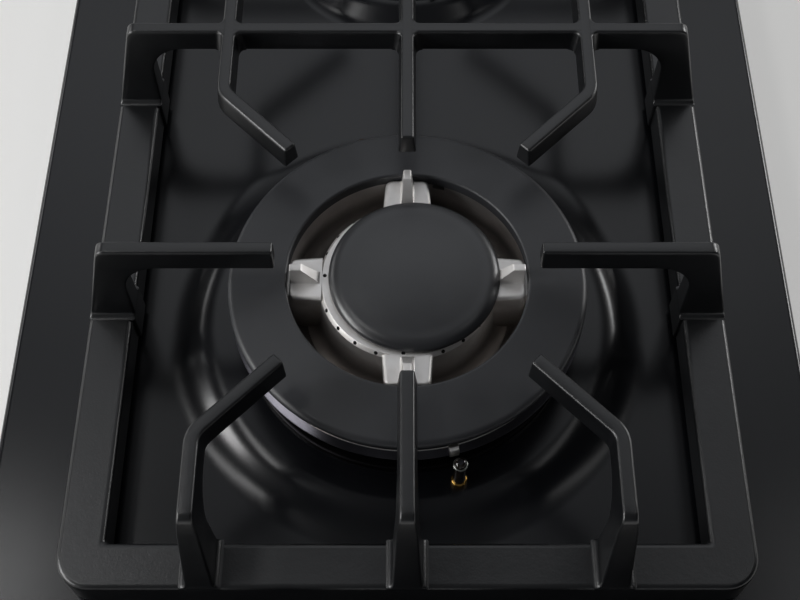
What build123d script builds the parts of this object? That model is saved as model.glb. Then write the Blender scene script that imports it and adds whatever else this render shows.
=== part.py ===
from build123d import *
from math import atan2, cos, radians, sin, tan
import os

# Two-burner gas cooktop for a worktop cut-out: a large three-ring burner in front, a smaller one behind,
# one cast grate over both. Millimetres, X to the right, Y to the back, Z up, origin at the middle of the
# burner box's floor, so that the box's underside is Z = 0.

# ---- worktop, plate and burner box
plate_width = 300.0
plate_depth = 510.0
plate_corner = 8.0
plate_edge = 2.5
plate_sheet = 1.2
plate_rise = 6.0
rim_gap = 0.5
overlap_sides = 15.0
overlap_ends = 10.0
cutout_clearance = 2.0
box_depth = 45.0
box_sheet = 0.8
box_corner = 6.0
flange_gap = 1.8
seal_side_gap = 1.0

cutout_width = plate_width - 2 * overlap_sides
cutout_depth = plate_depth - 2 * overlap_ends
worktop_z = box_depth
plate_top = worktop_z + plate_rise
plate_under = plate_top - plate_sheet
box_width = cutout_width - 2 * cutout_clearance
box_length = cutout_depth - 2 * cutout_clearance
flange_width = overlap_sides + cutout_clearance - plate_sheet - flange_gap
flange_width_ends = overlap_ends + cutout_clearance - plate_sheet - flange_gap
floor_z = box_sheet

# ---- burner places and the pressings round them
tap_setback = 30.0
tap_inset = 88.0
knob_to_burner = 149.0
rear_setback = 99.0
step_height = 5.5
step_run = 9.5
top_bend = 6.0
foot_bend = 10.0
step_margin = 8.0
wok_step_gap = 19.9
rear_step_gap = 12.0
through_clearance = 1.0
knob_x = box_width / 2 - tap_inset
knob_y = tap_setback - box_length / 2
wok_y = knob_y + knob_to_burner
rear_y = box_length / 2 - rear_setback
plateau_z = plate_top + step_height

# ---- clearances
body_gap = 0.3
running_clearance = 0.05
slip_clearance = 0.4

# ---- front burner; heights run from the ring cap's outer top edge
cap_height = 36.0
cup_r = 56.0
cup_wall = 3.0
cup_flange_step = 6.5
cup_flange = 2.5
cup_floor_z = 27.0
skirt_wall = 2.1
channel_seat = 4.5
well_wall = 2.5
port_wall_step = 4.5
ring_cap_overhang = 4.5
band_top_overhang = 1.9
band_overhang = 5.1
ring_cap_rise = 2.2
ring_cap_edge = 2.4
ring_cap_rim = 2.7
cap_lip_depth = 3.0
cap_lip_wall = 2.0
band_top_drop = 9.8
band_foot_drop = 12.7
port_wall = 2.5
channel_drop = 13.5
seat_drop = 16.7
skirt_drop = 22.0
well_drop = 22.0
well_floor = 2.5
well_width = 11.0
hub_wall = 3.0
hub_draft = 1.0
hub_drop = 1.0
venturi_r = 12.0
venturi_wall = 3.0
venturi_drop = 20.0
centre_cap_inset = 1.9
centre_cap_height = 5.6
centre_cap_edge = 4.6
centre_cap_shift = 1.7
spigot_gap = 2.5
spigot_wall = 2.5
spigot_depth = 4.5
arm_width = 18.0
arm_gap = 1.1
arm_corner = 3.0
fin_height = 8.0
fin_base = 5.0
fin_tip = 3.0
fin_root = 1.0
fin_flat = 5.0
outer_port_count = 60
port_width = 1.7
port_height = 5.2
inner_port_count = 6
inner_port_r = 1.1
hub_port_width = 1.4
hub_port_depth = 1.6
hub_port_pitch = 15.0
hub_port_first = 25.0
hub_ports_per_quarter = 4
well_seat_r = cup_r - cup_wall - slip_clearance - skirt_wall - channel_seat
ring_cap_bore_r = well_seat_r - well_wall
hub_r = ring_cap_bore_r - well_width
port_wall_r = cup_r + port_wall_step
band_top_r = port_wall_r + band_top_overhang
band_r = port_wall_r + band_overhang
ring_cap_r = port_wall_r + ring_cap_overhang
cup_flange_r = cup_r + cup_flange_step
centre_cap_r = hub_r - centre_cap_inset
spigot_r = hub_r - hub_wall - spigot_gap
arm_end_r = ring_cap_bore_r - arm_gap
fin_root_r = hub_r + fin_root
wok_step_r = band_r + wok_step_gap
cap_plane_z = plate_top + cap_height

# ---- rear burner
rear_cup_r = 40.0
rear_cup_flange_step = 6.0
rear_head_inset = 3.0
rear_cap_inset = 1.0
rear_cap_height = 24.0
rear_cap_thickness = 5.0
rear_cap_edge = 2.0
rear_head_height = 11.0
rear_head_wall = 3.0
rear_head_skirt = 4.0
rear_skirt_height = 3.0
rear_skirt_depth = 6.0
rear_lip = 2.5
rear_port_count = 32
rear_port_depth = 4.0
rear_seat_wall = 2.5
rear_venturi_drop = 4.0
rear_cup_flange_r = rear_cup_r + rear_cup_flange_step
rear_head_r = rear_cup_r - rear_head_inset
rear_cap_r = rear_head_r - rear_cap_inset
rear_step_r = rear_cup_flange_r + rear_step_gap
rear_cap_z = plate_top + rear_cap_height

# ---- gas taps and knobs
knob_r = 20.0
knob_top_r = 17.5
knob_height = 22.0
knob_wall = 2.5
knob_edge = 1.6
knob_boss_r = 6.5
knob_boss_recess = 2.0
pointer_width = 2.0
pointer_depth = 0.8
press_travel = 3.0
press_clearance = 1.0
spindle_r = 3.0
spindle_flat = 1.2
spindle_engagement = 12.0
spindle_hole_r = 5.0
gasket_r = 8.0
gasket_height = 1.2
tap_width = 22.0
tap_depth = 22.0
tap_low_z = 9.0
tap_high_z = 37.0
bonnet_r = 10.0
bonnet_height = 2.0
plunger_r = 4.0
plunger_length = 10.0
tap_bore_depth = 26.5
tap_neck = 8.0
switch_height = 8.0
switch_width = 24.0
switch_depth = 18.0
switch_bore_r = 4.0
outlet_r = 5.5
outlet_length = 6.0

# ---- gas rail and pipes
rail_r = 8.0
rail_wall = 1.5
rail_z = 20.0
rail_end = 19.0
rail_inlet_end = 14.0
rail_gap = 19.0
saddle_thickness = 12.0
saddle_width = 19.0
stub_r = 6.0
pipe_r = 4.0
pipe_wall = 1.0
pipe_bend = 14.0
pipe_end = 1.4
pipe_z = 18.0
inlet_pipe_r = 5.0
inlet_spacing = 24.0
holder_r = 9.0
holder_low_z = 11.0
jet_r = 3.5
jet_length = 8.0
jet_bore_r = 0.8
floor_bore_r = 6.0

pipe_x = knob_x + tap_width / 2 + outlet_length + pipe_bend
inlet_x = pipe_x + inlet_spacing
rail_left = -knob_x - rail_end
rail_right = inlet_x + rail_inlet_end

# ---- inlet corner and its connector: half-inch parallel pipe thread
notch_side = 22.0
notch_length = 38.0
notch_height = 40.0
inlet_thread_r = 10.4775
inlet_thread_length = 15.0
inlet_bore_r = 7.5
inlet_hex = 24.0
inlet_hex_length = 5.0
inlet_collar_r = 9.0
inlet_collar = 3.0
notch_width = box_width / 2 - inlet_x + notch_side

# ---- support rails, screws and clamps
support_width = 40.0
support_length = 124.0
support_sheet = 1.5
support_foot = 12.0
support_hole_r = 12.0
screw_r = 2.0
screw_head_r = 3.8
screw_head = 2.6
wok_screw_inset = 13.0
rear_screw_inset = 7.0
clamp_setback = 68.0
clamp_width = 20.0
clamp_sheet = 1.8
clamp_reach = 14.0
clamp_low_z = 3.0
clamp_leg = 20.0
clamp_screw_tip_z = 14.0
clamp_screw_r = 2.0
wok_screw_r = cup_r - cup_wall - wok_screw_inset
rear_screw_r = rear_cup_r - cup_wall - rear_screw_inset
clamp_y = box_length / 2 - clamp_setback

# ---- ignition and flame sensing
electrode_angle = -74.5
probe_angle = 105.0
probe_offset = 2.9
ceramic_r = 2.4
ceramic_low_z = 40.0
electrode_pin_r = 1.0
collar_r = 3.6
collar_height = 1.2
electrode_drop = 12.5
probe_drop = 9.0
pin_extra = 1.0
ferrule_r = 2.6
ferrule_height = 0.9
ferrule_drop = 2.4
lug_turn = 1.0
lug_width = 3.6
lug_low_drop = 13.4
lug_high_drop = 8.6
lug_inset = 0.3
spark_width = 60.0
spark_depth = 36.0
spark_height = 20.0
spark_tab = 8.0
spark_tab_width = 6.3
spark_tab_sheet = 0.8
back_column_inset = 41.0
spark_setback = 93.0
terminal_width = 34.0
terminal_depth = 18.0
terminal_height = 16.0
terminal_setback = 38.0
gland_z = 20.0
gland_bore_r = 4.0
gland_body_r = 7.0
gland_flange_r = 9.5
gland_flange = 2.0
gland_inside = 6.0
spark_x = back_column_inset - box_width / 2
spark_y = box_length / 2 - spark_setback
terminal_x = spark_x
terminal_y = box_length / 2 - terminal_setback
gland_x = spark_x

# ---- grate
finger_rise = 21.4
bar_top = 4.8
bar_draft = 1.0
bar_height = 9.5
finger_tip_r = 46.8
corner_finger_tip_r = 60.0
side_bar_x = 68.8
finger_bend = 9.0
rear_finger_tip_r = 30.0
rear_corner_tip_r = 42.0
grate_front = 108.0
grate_back = 98.0
grate_side_inset = 32.0
base_width = 16.0
base_height = 14.0
base_corner = 12.0
base_clearance = 3.3
crossbar_shift = 4.6
leg_setback = 10.0
leg_foot_width = 10.0
leg_curve = 13.0
foot_r = 5.0
foot_stud_r = 2.0
foot_stud = 4.0
foot_inset = 22.0

grate_half_width = plate_width / 2 - grate_side_inset
cross_y = (wok_y + rear_y) / 2 - crossbar_shift
grate_top = cap_plane_z + finger_rise
base_low = plate_top + base_clearance
base_high = base_low + base_height


def profile(points):
    """Closed outline from (r, z) or (r, z, corner radius) points."""
    radii = [point[2] if len(point) == 3 else 0 for point in points]
    corners = [(point[0], point[1]) for point in points]
    return make_face(FilletPolyline(*corners, radius=radii, close=True))


def turned(points, axis_y=0.0, axis_x=0.0):
    """Solid turned about an upright axis from a half section."""
    return Pos(axis_x, axis_y) * revolve(Plane.XZ * profile(points), Axis.Z, 360)


def rod(radius, low, high, x=0.0, y=0.0):
    """Upright cylinder between two heights."""
    return Pos(x, y, low) * extrude(Circle(radius), high - low)


def block(width, depth, low, high, x=0.0, y=0.0, corner=0.0):
    """Upright block with rounded corners in plan."""
    outline = RectangleRounded(width, depth, corner) if corner else Rectangle(width, depth)
    return Pos(x, y, low) * extrude(outline, high - low)


def cross_rod(radius, start, end):
    """Cylinder between two points."""
    line = Line(start, end)
    return extrude(Plane(origin=line @ 0, z_dir=line % 0) * Circle(radius), line.length)


def tube(points, radius, wall, bend):
    """Bent tube along straight runs joined by tangent arcs."""
    route = FilletPolyline(*points, radius=bend) if len(points) > 2 else Line(*points)
    section = Plane(origin=route @ 0, z_dir=route % 0) * (Circle(radius) - Circle(radius - wall))
    return sweep(section, path=route)


def polar(angle, radius):
    """Plan offset at an angle in degrees."""
    return radius * cos(radians(angle)), radius * sin(radians(angle))


# ---- sheet metal


def pressed_step(fold_r, hole_r, axis_y):
    """Raised step round a burner: plateau, slope and flat in one sheet thickness."""
    inner_fold = fold_r - step_run
    flat_r = fold_r + step_margin
    shift = plate_sheet * tan(atan2(step_height, step_run) / 2)
    return turned(
        [
            (hole_r, plateau_z),
            (inner_fold, plateau_z, top_bend),
            (fold_r, plate_top, foot_bend),
            (flat_r, plate_top),
            (flat_r, plate_under),
            (fold_r - shift, plate_under, foot_bend + plate_sheet),
            (inner_fold - shift, plateau_z - plate_sheet, top_bend - plate_sheet),
            (hole_r, plateau_z - plate_sheet),
        ],
        axis_y,
    )


def top_plate():
    """Enamelled plate: flat sheet with a turned-down rim, two pressed steps and its holes."""
    rim_low = worktop_z + rim_gap
    outer = block(plate_width, plate_depth, rim_low, plate_top, corner=plate_corner)
    outer = fillet(outer.faces().sort_by(Axis.Z)[-1].edges(), plate_edge)
    inner = block(
        plate_width - 2 * plate_sheet,
        plate_depth - 2 * plate_sheet,
        rim_low,
        plate_under,
        corner=plate_corner - plate_sheet,
    )
    inner = fillet(inner.faces().sort_by(Axis.Z)[-1].edges(), plate_edge - plate_sheet)
    plate = outer - inner
    burners = [(wok_step_r, cup_r, wok_y), (rear_step_r, rear_cup_r, rear_y)]
    for fold_r, passing_r, axis_y in burners:
        plate -= rod(fold_r + step_margin, rim_low, plate_top, y=axis_y)
        plate += pressed_step(fold_r, passing_r + through_clearance, axis_y)
    for side in (-1, 1):
        plate -= rod(spindle_hole_r, rim_low, plate_top, side * knob_x, knob_y)
    for x, y in probe_places():
        plate -= rod(ceramic_r + body_gap, rim_low, plateau_z, x, y)
    return plate


def burner_box():
    """Tray under the plate with an out-turned flange and a recessed corner for the gas inlet."""
    notch_x = box_width / 2 - notch_width / 2
    notch_y = box_length / 2 - notch_length / 2
    outer = block(box_width, box_length, 0, plate_under, corner=box_corner)
    outer -= block(notch_width, notch_length, 0, notch_height, notch_x, notch_y)
    inner = block(
        box_width - 2 * box_sheet,
        box_length - 2 * box_sheet,
        box_sheet,
        plate_under,
        corner=box_corner - box_sheet,
    )
    inner -= block(
        notch_width + 2 * box_sheet,
        notch_length + 2 * box_sheet,
        0,
        notch_height + box_sheet,
        notch_x,
        notch_y,
    )
    flange = block(
        box_width + 2 * flange_width,
        box_length + 2 * flange_width_ends,
        plate_under - box_sheet,
        plate_under,
        corner=plate_corner,
    )
    flange -= block(box_width - 2 * box_sheet, box_length - 2 * box_sheet, 0, plate_under, corner=box_corner)
    tray = outer - inner + flange
    notch_wall = box_length / 2 - notch_length
    tray -= cross_rod(inlet_collar_r, (inlet_x, notch_wall - 5, rail_z), (inlet_x, notch_wall + 5, rail_z))
    back = box_length / 2
    tray -= cross_rod(gland_body_r, (gland_x, back - 5, gland_z), (gland_x, back + 5, gland_z))
    return tray


def worktop_seal():
    """Foam strip between the flange and the worktop, a closed frame."""
    outer = block(
        box_width + 2 * flange_width,
        box_length + 2 * flange_width_ends,
        worktop_z,
        plate_under - box_sheet,
        corner=plate_corner,
    )
    return outer - block(
        box_width + 2 * seal_side_gap,
        box_length + 2 * seal_side_gap,
        worktop_z,
        plate_under,
        corner=box_corner,
    )


def clamp_places():
    """Foot of each worktop clamp on the box's side walls, with the side it faces."""
    return [(side, side * box_width / 2, end * clamp_y) for side in (-1, 1) for end in (-1, 1)]


def clamp_brackets():
    """Four angle brackets that hold the box down to the worktop."""
    brackets = []
    for side, x, y in clamp_places():
        leg = Pos(x + side * clamp_sheet / 2, y, clamp_low_z + clamp_leg / 2) * Box(
            clamp_sheet, clamp_width, clamp_leg
        )
        arm = Pos(x + side * clamp_reach / 2, y, clamp_low_z + clamp_sheet / 2) * Box(
            clamp_reach, clamp_width, clamp_sheet
        )
        hole = rod(clamp_screw_r, 0, clamp_leg, x + side * clamp_reach * 0.6, y)
        brackets.append(leg + arm - hole)
    return brackets


def clamp_screws():
    """Upright clamp screw of each bracket, head below."""
    screws = []
    for side, x, y in clamp_places():
        centre = x + side * clamp_reach * 0.6
        head = rod(screw_head_r, clamp_low_z - screw_head, clamp_low_z, centre, y)
        screws.append(head + rod(clamp_screw_r, clamp_low_z, clamp_screw_tip_z, centre, y))
    return screws


def support_rail(axis_y, screw_place):
    """Folded strip on the box floor that carries one burner cup."""
    span = support_length / 2
    high = cup_floor_z
    section = make_face(
        Polyline(
            (-span - support_foot, floor_z),
            (-span, floor_z),
            (-span, high - support_sheet),
            (span, high - support_sheet),
            (span, floor_z),
            (span + support_foot, floor_z),
            (span + support_foot, floor_z + support_sheet),
            (span + support_sheet, floor_z + support_sheet),
            (span + support_sheet, high),
            (-span - support_sheet, high),
            (-span - support_sheet, floor_z + support_sheet),
            (-span - support_foot, floor_z + support_sheet),
            close=True,
        )
    )
    rail = Pos(0, axis_y) * extrude(Plane.YZ * section, support_width / 2, both=True)
    rail -= rod(support_hole_r, floor_z, high, y=axis_y)
    for end in (-1, 1):
        rail -= rod(screw_r + running_clearance, floor_z, high, y=axis_y + end * screw_place)
    return rail


def cup_screws():
    """Pan-head screws from each cup's floor into its rail."""
    screws = []
    for axis_y, place in ((wok_y, wok_screw_r), (rear_y, rear_screw_r)):
        for end in (-1, 1):
            y = axis_y + end * place
            top = cup_floor_z + cup_wall
            shank = rod(screw_r, cup_floor_z - support_sheet, top, y=y)
            screws.append(shank + rod(screw_head_r, top, top + screw_head, y=y))
    return screws


# ---- front burner


def wok_cup():
    """Cast cup of the front burner: floor, wall through the plate, seat flange and central venturi."""
    inside = cup_r - cup_wall
    floor_top = cup_floor_z + cup_wall
    cup_top = cap_plane_z - seat_drop - body_gap
    cup = turned(
        [
            (floor_bore_r, cup_floor_z),
            (cup_r, cup_floor_z, 4.0),
            (cup_r, plateau_z),
            (cup_flange_r, plateau_z),
            (cup_flange_r, plateau_z + cup_flange, 1.0),
            (cup_r, plateau_z + cup_flange),
            (cup_r, cup_top),
            (inside, cup_top),
            (inside, floor_top, 2.0),
            (venturi_r, floor_top),
            (venturi_r, cap_plane_z - venturi_drop),
            (venturi_r - venturi_wall, cap_plane_z - venturi_drop),
            (venturi_r - venturi_wall, floor_top),
            (floor_bore_r, floor_top),
        ],
        wok_y,
    )
    for end in (-1, 1):
        cup -= rod(screw_r + running_clearance, cup_floor_z, floor_top, y=wok_y + end * wok_screw_r)
    return cup


def arm(angle):
    """Crossover arm from the hub to the outer ring with its upright pan fin."""
    top = -hub_drop
    low = -well_drop
    width = arm_width
    start = hub_r - hub_wall / 2
    body = Pos((start + arm_end_r) / 2, 0, low) * extrude(Rectangle(arm_end_r - start, width), top - low)
    corners = body.edges().filter_by(Axis.Z).sort_by(Axis.X)[-2:]
    body = fillet(corners, arm_corner)
    tie_length = ring_cap_bore_r + well_wall / 2 - start
    tie_height = well_drop - ring_cap_rim - 2 * body_gap
    body += Pos(start + tie_length / 2, 0, low) * extrude(Rectangle(tie_length, width - 2 * arm_corner), tie_height)
    flat_end = arm_end_r - 0.6
    side = make_face(
        Polyline(
            (fin_root_r, top - 1),
            (arm_end_r - 0.3, top - 1),
            (flat_end, top + fin_height),
            (flat_end - fin_flat, top + fin_height),
            (fin_root_r, top),
            close=True,
        )
    )
    fin = extrude(Plane.XZ * side, fin_base, both=True)
    lean = (fin_base - fin_tip) / 2 / fin_height
    draft = make_face(
        Polyline(
            (-fin_base / 2 - lean, top - 1),
            (fin_base / 2 + lean, top - 1),
            (fin_tip / 2, top + fin_height),
            (-fin_tip / 2, top + fin_height),
            close=True,
        )
    )
    body += fin & extrude(Plane.YZ * draft, arm_end_r)
    return Rot(0, 0, angle) * body


def wok_spreader():
    """Flame spreader: outer gas channel with its port wall, well, hub, four arms and every port."""
    channel_inner = ring_cap_bore_r + well_wall
    channel_outer = port_wall_r - port_wall
    rim = -ring_cap_rim - 2 * body_gap
    skirt_outer = cup_r - cup_wall - slip_clearance
    skirt_inner = skirt_outer - skirt_wall
    band_root_r = port_wall_r + 0.5
    low = -well_drop - well_floor
    hub_inner = hub_r - hub_wall
    bore = venturi_r + through_clearance
    body = turned(
        [
            (bore, low),
            (channel_inner, low, 1.5),
            (channel_inner, -seat_drop),
            (skirt_inner, -seat_drop),
            (skirt_inner, -skirt_drop),
            (skirt_outer, -skirt_drop),
            (skirt_outer, -seat_drop),
            (band_root_r, -seat_drop),
            (band_root_r, -band_foot_drop),
            (band_r, -band_foot_drop),
            (band_top_r, -band_top_drop),
            (port_wall_r, -band_top_drop),
            (port_wall_r, rim),
            (channel_outer, rim),
            (channel_outer, -channel_drop, 1.0),
            (channel_inner, -channel_drop, 1.0),
            (channel_inner, rim),
            (ring_cap_bore_r, rim),
            (ring_cap_bore_r, -well_drop, 3.0),
            (hub_r + hub_draft, -well_drop, 3.0),
            (hub_r, -hub_drop, 0.6),
            (hub_inner, -hub_drop),
            (hub_inner, low + well_floor, 1.0),
            (bore, low + well_floor),
        ]
    )
    slot = Box(port_wall * 2, port_width, port_height)
    slots = PolarLocations(port_wall_r - port_wall / 2, outer_port_count)
    body -= [place * Pos(0, 0, rim - port_height / 2) * slot for place in slots]
    for quarter in range(4):
        body += arm(90 * quarter)
    lug_low = -lug_low_drop
    lug_mid = (port_wall_r + band_r - lug_inset) / 2
    lug = Box(band_r - lug_inset - port_wall_r, lug_width, lug_low_drop - lug_high_drop)
    body += Rot(0, 0, electrode_angle - lug_turn) * Pos(lug_mid, 0, (lug_low - lug_high_drop) / 2) * lug
    groove = Box(hub_wall * 2, hub_port_width, 2 * hub_port_depth)
    grooves = []
    jets = []
    for quarter in range(4):
        for step in range(hub_ports_per_quarter):
            angle = 90 * quarter + hub_port_first + hub_port_pitch * step
            grooves.append(Rot(0, 0, angle) * Pos(hub_inner + 0.4, 0, -hub_drop) * groove)
        for step in range(inner_port_count):
            angle = 90 * quarter + 90 * (step + 1) / (inner_port_count + 1)
            start = (*polar(angle, ring_cap_bore_r - 1), rim - 3)
            end = (*polar(angle, channel_inner + 1), rim - 3)
            jets.append(cross_rod(inner_port_r, start, end))
    body -= grooves
    body -= jets
    return Pos(0, wok_y, cap_plane_z) * body


def wok_ring_cap():
    """Flat enamelled ring over the outer gas channel, with its locating lip."""
    lip_outer = port_wall_r - port_wall - 0.5
    lip_inner = lip_outer - cap_lip_wall
    slope = ring_cap_rise / (ring_cap_r - ring_cap_edge - ring_cap_bore_r)
    under = -ring_cap_rim - body_gap
    cap = turned(
        [
            (ring_cap_bore_r, under),
            (lip_inner, under),
            (lip_inner, under - cap_lip_depth),
            (lip_outer, under - cap_lip_depth),
            (lip_outer, under),
            (ring_cap_r, under, 0.4),
            (ring_cap_r, -slope * ring_cap_edge, ring_cap_edge),
            (ring_cap_bore_r, ring_cap_rise, 0.9),
        ],
        wok_y,
    )
    return Pos(0, 0, cap_plane_z) * cap


def wok_centre_cap():
    """Domed enamelled disc over the hub, with its locating spigot."""
    low = -hub_drop + body_gap
    high = low + centre_cap_height
    shoulder_r = centre_cap_r - centre_cap_edge
    shoulder_z = high - 1.3
    dome = ThreePointArc((0, high), (shoulder_r / 2, high - 0.32), (shoulder_r, shoulder_z))
    side = EllipticalCenterArc(
        (shoulder_r, low + 0.9), centre_cap_edge, shoulder_z - low - 0.9, start_angle=0, arc_size=90
    )
    outline = make_face(
        [
            dome,
            side,
            Polyline(
                (centre_cap_r, low + 0.9),
                (centre_cap_r - 0.9, low),
                (spigot_r, low),
                (spigot_r, low - spigot_depth),
                (spigot_r - spigot_wall, low - spigot_depth),
                (spigot_r - spigot_wall, low),
                (0, low),
                (0, high),
            ),
        ]
    )
    cap = revolve(Plane.XZ * outline, Axis.Z, 360)
    return Pos(centre_cap_shift, wok_y, cap_plane_z) * cap


# ---- rear burner


def rear_cup():
    """Cast cup of the rear burner."""
    inside = rear_cup_r - cup_wall
    floor_top = cup_floor_z + cup_wall
    cup_top = rear_cap_z - rear_cap_thickness - rear_head_height - body_gap
    cup = turned(
        [
            (floor_bore_r, cup_floor_z),
            (rear_cup_r, cup_floor_z, 4.0),
            (rear_cup_r, plateau_z),
            (rear_cup_flange_r, plateau_z),
            (rear_cup_flange_r, cup_top, 1.0),
            (inside, cup_top),
            (inside, floor_top, 2.0),
            (venturi_r, floor_top),
            (venturi_r, cup_top - rear_venturi_drop),
            (venturi_r - venturi_wall, cup_top - rear_venturi_drop),
            (venturi_r - venturi_wall, floor_top),
            (floor_bore_r, floor_top),
        ],
        rear_y,
    )
    for end in (-1, 1):
        cup -= rod(screw_r + running_clearance, cup_floor_z, floor_top, y=rear_y + end * rear_screw_r)
    for x, y in probe_places():
        cup -= rod(collar_r + body_gap, plateau_z, cup_top, x, y)
    return cup


def rear_spreader():
    """Crowned flame spreader of the rear burner with slots round its rim."""
    high = rear_cap_z - rear_cap_thickness - body_gap
    low = high - rear_head_height + body_gap
    seat_r = rear_cup_r - cup_wall - slip_clearance
    body = turned(
        [
            (venturi_r + through_clearance, low),
            (seat_r - rear_seat_wall, low),
            (seat_r - rear_seat_wall, low - rear_skirt_depth),
            (seat_r, low - rear_skirt_depth),
            (seat_r, low),
            (rear_head_r + rear_head_skirt, low, 0.8),
            (rear_head_r, low + rear_skirt_height, 1.0),
            (rear_head_r - 1, high),
            (rear_head_r - 1 - rear_head_wall, high),
            (rear_head_r - 1 - rear_head_wall, low + rear_skirt_height, 1.0),
            (venturi_r + through_clearance, low + rear_skirt_height),
        ]
    )
    slot = Box(rear_head_wall * 3, port_width, 2 * rear_port_depth)
    slots = PolarLocations(rear_head_r - rear_head_wall / 2, rear_port_count)
    body -= [place * Pos(0, 0, high) * slot for place in slots]
    return Pos(0, rear_y) * body


def rear_cap():
    """Flat enamelled cap of the rear burner."""
    low = rear_cap_z - rear_cap_thickness
    lip_r = rear_head_r - rear_head_wall - 1.6
    return turned(
        [
            (0, low),
            (lip_r - cap_lip_wall, low),
            (lip_r - cap_lip_wall, low - rear_lip),
            (lip_r, low - rear_lip),
            (lip_r, low),
            (rear_cap_r, low, 0.8),
            (rear_cap_r, rear_cap_z - 1, rear_cap_edge),
            (0, rear_cap_z),
        ],
        rear_y,
    )


# ---- ignition and flame sensing


def burner_rims():
    """Axis, rim radius and cap height of each burner."""
    return [(wok_y, band_r, cap_plane_z), (rear_y, rear_head_r + rear_head_skirt, rear_cap_z)]


def probe_places():
    """Plan positions of the electrode and the thermocouple of each burner."""
    places = []
    for axis_y, rim_r, _ in burner_rims():
        for angle in (electrode_angle, probe_angle):
            x, y = polar(angle, rim_r + probe_offset)
            places.append((x, axis_y + y))
    return places


def electrode(burner):
    """Ceramic insulator with its collar on the plate and a ferrule, and the steel pin inside it."""
    axis_y, rim_r, cap_z = burner_rims()[burner]
    x, y = polar(electrode_angle, rim_r + probe_offset)
    high = cap_z - electrode_drop
    ceramic = rod(ceramic_r, ceramic_low_z, high, x, axis_y + y)
    ceramic += rod(collar_r, plateau_z, plateau_z + collar_height, x, axis_y + y)
    ferrule_high = high - ferrule_drop
    ceramic += rod(ferrule_r, ferrule_high - ferrule_height, ferrule_high, x, axis_y + y)
    ceramic -= rod(electrode_pin_r, ceramic_low_z, high, x, axis_y + y)
    pin = rod(electrode_pin_r, ceramic_low_z - 3, high + pin_extra, x, axis_y + y)
    return ceramic, pin


def thermocouple(burner):
    """Flame sensor with a stepped tip, seated in the plate by its collar."""
    axis_y, rim_r, cap_z = burner_rims()[burner]
    x, y = polar(probe_angle, rim_r + probe_offset)
    high = cap_z - probe_drop + 1
    probe = rod(ceramic_r, ceramic_low_z, high - 6, x, axis_y + y)
    probe += rod(ceramic_r - 0.7, high - 6, high, x, axis_y + y)
    probe += rod(collar_r, plateau_z, plateau_z + collar_height, x, axis_y + y)
    return probe


def spark_module():
    """Spark generator on the box floor with its row of output tabs."""
    body = block(spark_width, spark_depth, floor_z, floor_z + spark_height, spark_x, spark_y, 3.0)
    top = floor_z + spark_height
    for step in range(4):
        x = spark_x + (step - 1.5) * spark_width / 5
        body += block(spark_tab_width, spark_tab_sheet, top, top + spark_tab, x, spark_y - spark_depth / 2 + spark_tab)
    return body


def terminal_block():
    """Three-way mains terminal block."""
    top = floor_z + terminal_height
    body = block(terminal_width, terminal_depth, floor_z, top, terminal_x, terminal_y, 1.5)
    for step in (-1, 0, 1):
        body -= rod(2.2, top - 6, top, terminal_x + step * terminal_width / 3.4, terminal_y)
    return body


def cable_gland():
    """Cable entry through the back wall, open for the mains lead."""
    back = box_length / 2
    outside = back + gland_flange
    inside = back - box_sheet
    body = cross_rod(gland_body_r, (gland_x, inside - gland_inside, gland_z), (gland_x, outside, gland_z))
    body += cross_rod(gland_flange_r, (gland_x, back, gland_z), (gland_x, outside, gland_z))
    body += cross_rod(gland_flange_r, (gland_x, inside - gland_inside, gland_z), (gland_x, inside, gland_z))
    return body - cross_rod(
        gland_bore_r, (gland_x, inside - gland_inside, gland_z), (gland_x, outside, gland_z)
    )


# ---- gas train


def rail_y():
    """Plan position of the gas rail's axis."""
    return knob_y - rail_gap


def rail_body():
    """Solid outline of the gas rail, used to fit pieces round it."""
    return cross_rod(rail_r, (rail_left, rail_y(), rail_z), (rail_right, rail_y(), rail_z))


def gas_rail():
    """Round gas rail with closed ends and tapped openings at each tap and at the inlet pipe."""
    cavity = cross_rod(
        rail_r - rail_wall,
        (rail_left + rail_wall, rail_y(), rail_z),
        (rail_right - rail_wall, rail_y(), rail_z),
    )
    rail = rail_body() - cavity
    for side in (-1, 1):
        x = side * knob_x
        rail -= cross_rod(stub_r - 2, (x, rail_y(), rail_z), (x, rail_y() + rail_r, rail_z))
    hole_r = inlet_pipe_r - pipe_wall
    return rail - cross_rod(hole_r, (inlet_x, rail_y(), rail_z), (inlet_x, rail_y() + rail_r, rail_z))


def rail_saddles():
    """Two cradles that carry the gas rail on the box floor."""
    saddles = []
    for side in (-1, 1):
        x = side * knob_x / 2
        cradle = block(saddle_thickness, saddle_width, floor_z, rail_z, x, rail_y())
        saddles.append(cradle - rail_body())
    return saddles


def tap_body(side):
    """Gas tap: body with a stepped bore, bonnet, side outlet and a stub into the gas rail."""
    x = side * knob_x
    body = block(tap_width, tap_depth, tap_low_z, tap_high_z, x, knob_y, 3.0)
    body += rod(bonnet_r, tap_high_z, tap_high_z + bonnet_height, x, knob_y)
    face = x + side * tap_width / 2
    body += cross_rod(outlet_r, (face - side, knob_y, pipe_z), (face + side * outlet_length, knob_y, pipe_z))
    body += cross_rod(stub_r, (x, knob_y, rail_z), (x, rail_y(), rail_z)) - rail_body()
    top = tap_high_z + bonnet_height
    body -= rod(plunger_r + running_clearance, top - tap_bore_depth, tap_high_z - tap_neck, x, knob_y)
    body -= rod(spindle_r + running_clearance, tap_high_z - tap_neck, top, x, knob_y)
    return body


def tap_plunger(side):
    """Push rod inside the tap that opens the safety valve."""
    low = tap_high_z + bonnet_height - tap_bore_depth + press_travel + 1
    return rod(plunger_r, low, low + plunger_length, side * knob_x, knob_y)


def knob_low():
    """Height of the knob's lower edge when released."""
    return plate_top + press_travel + press_clearance


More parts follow.
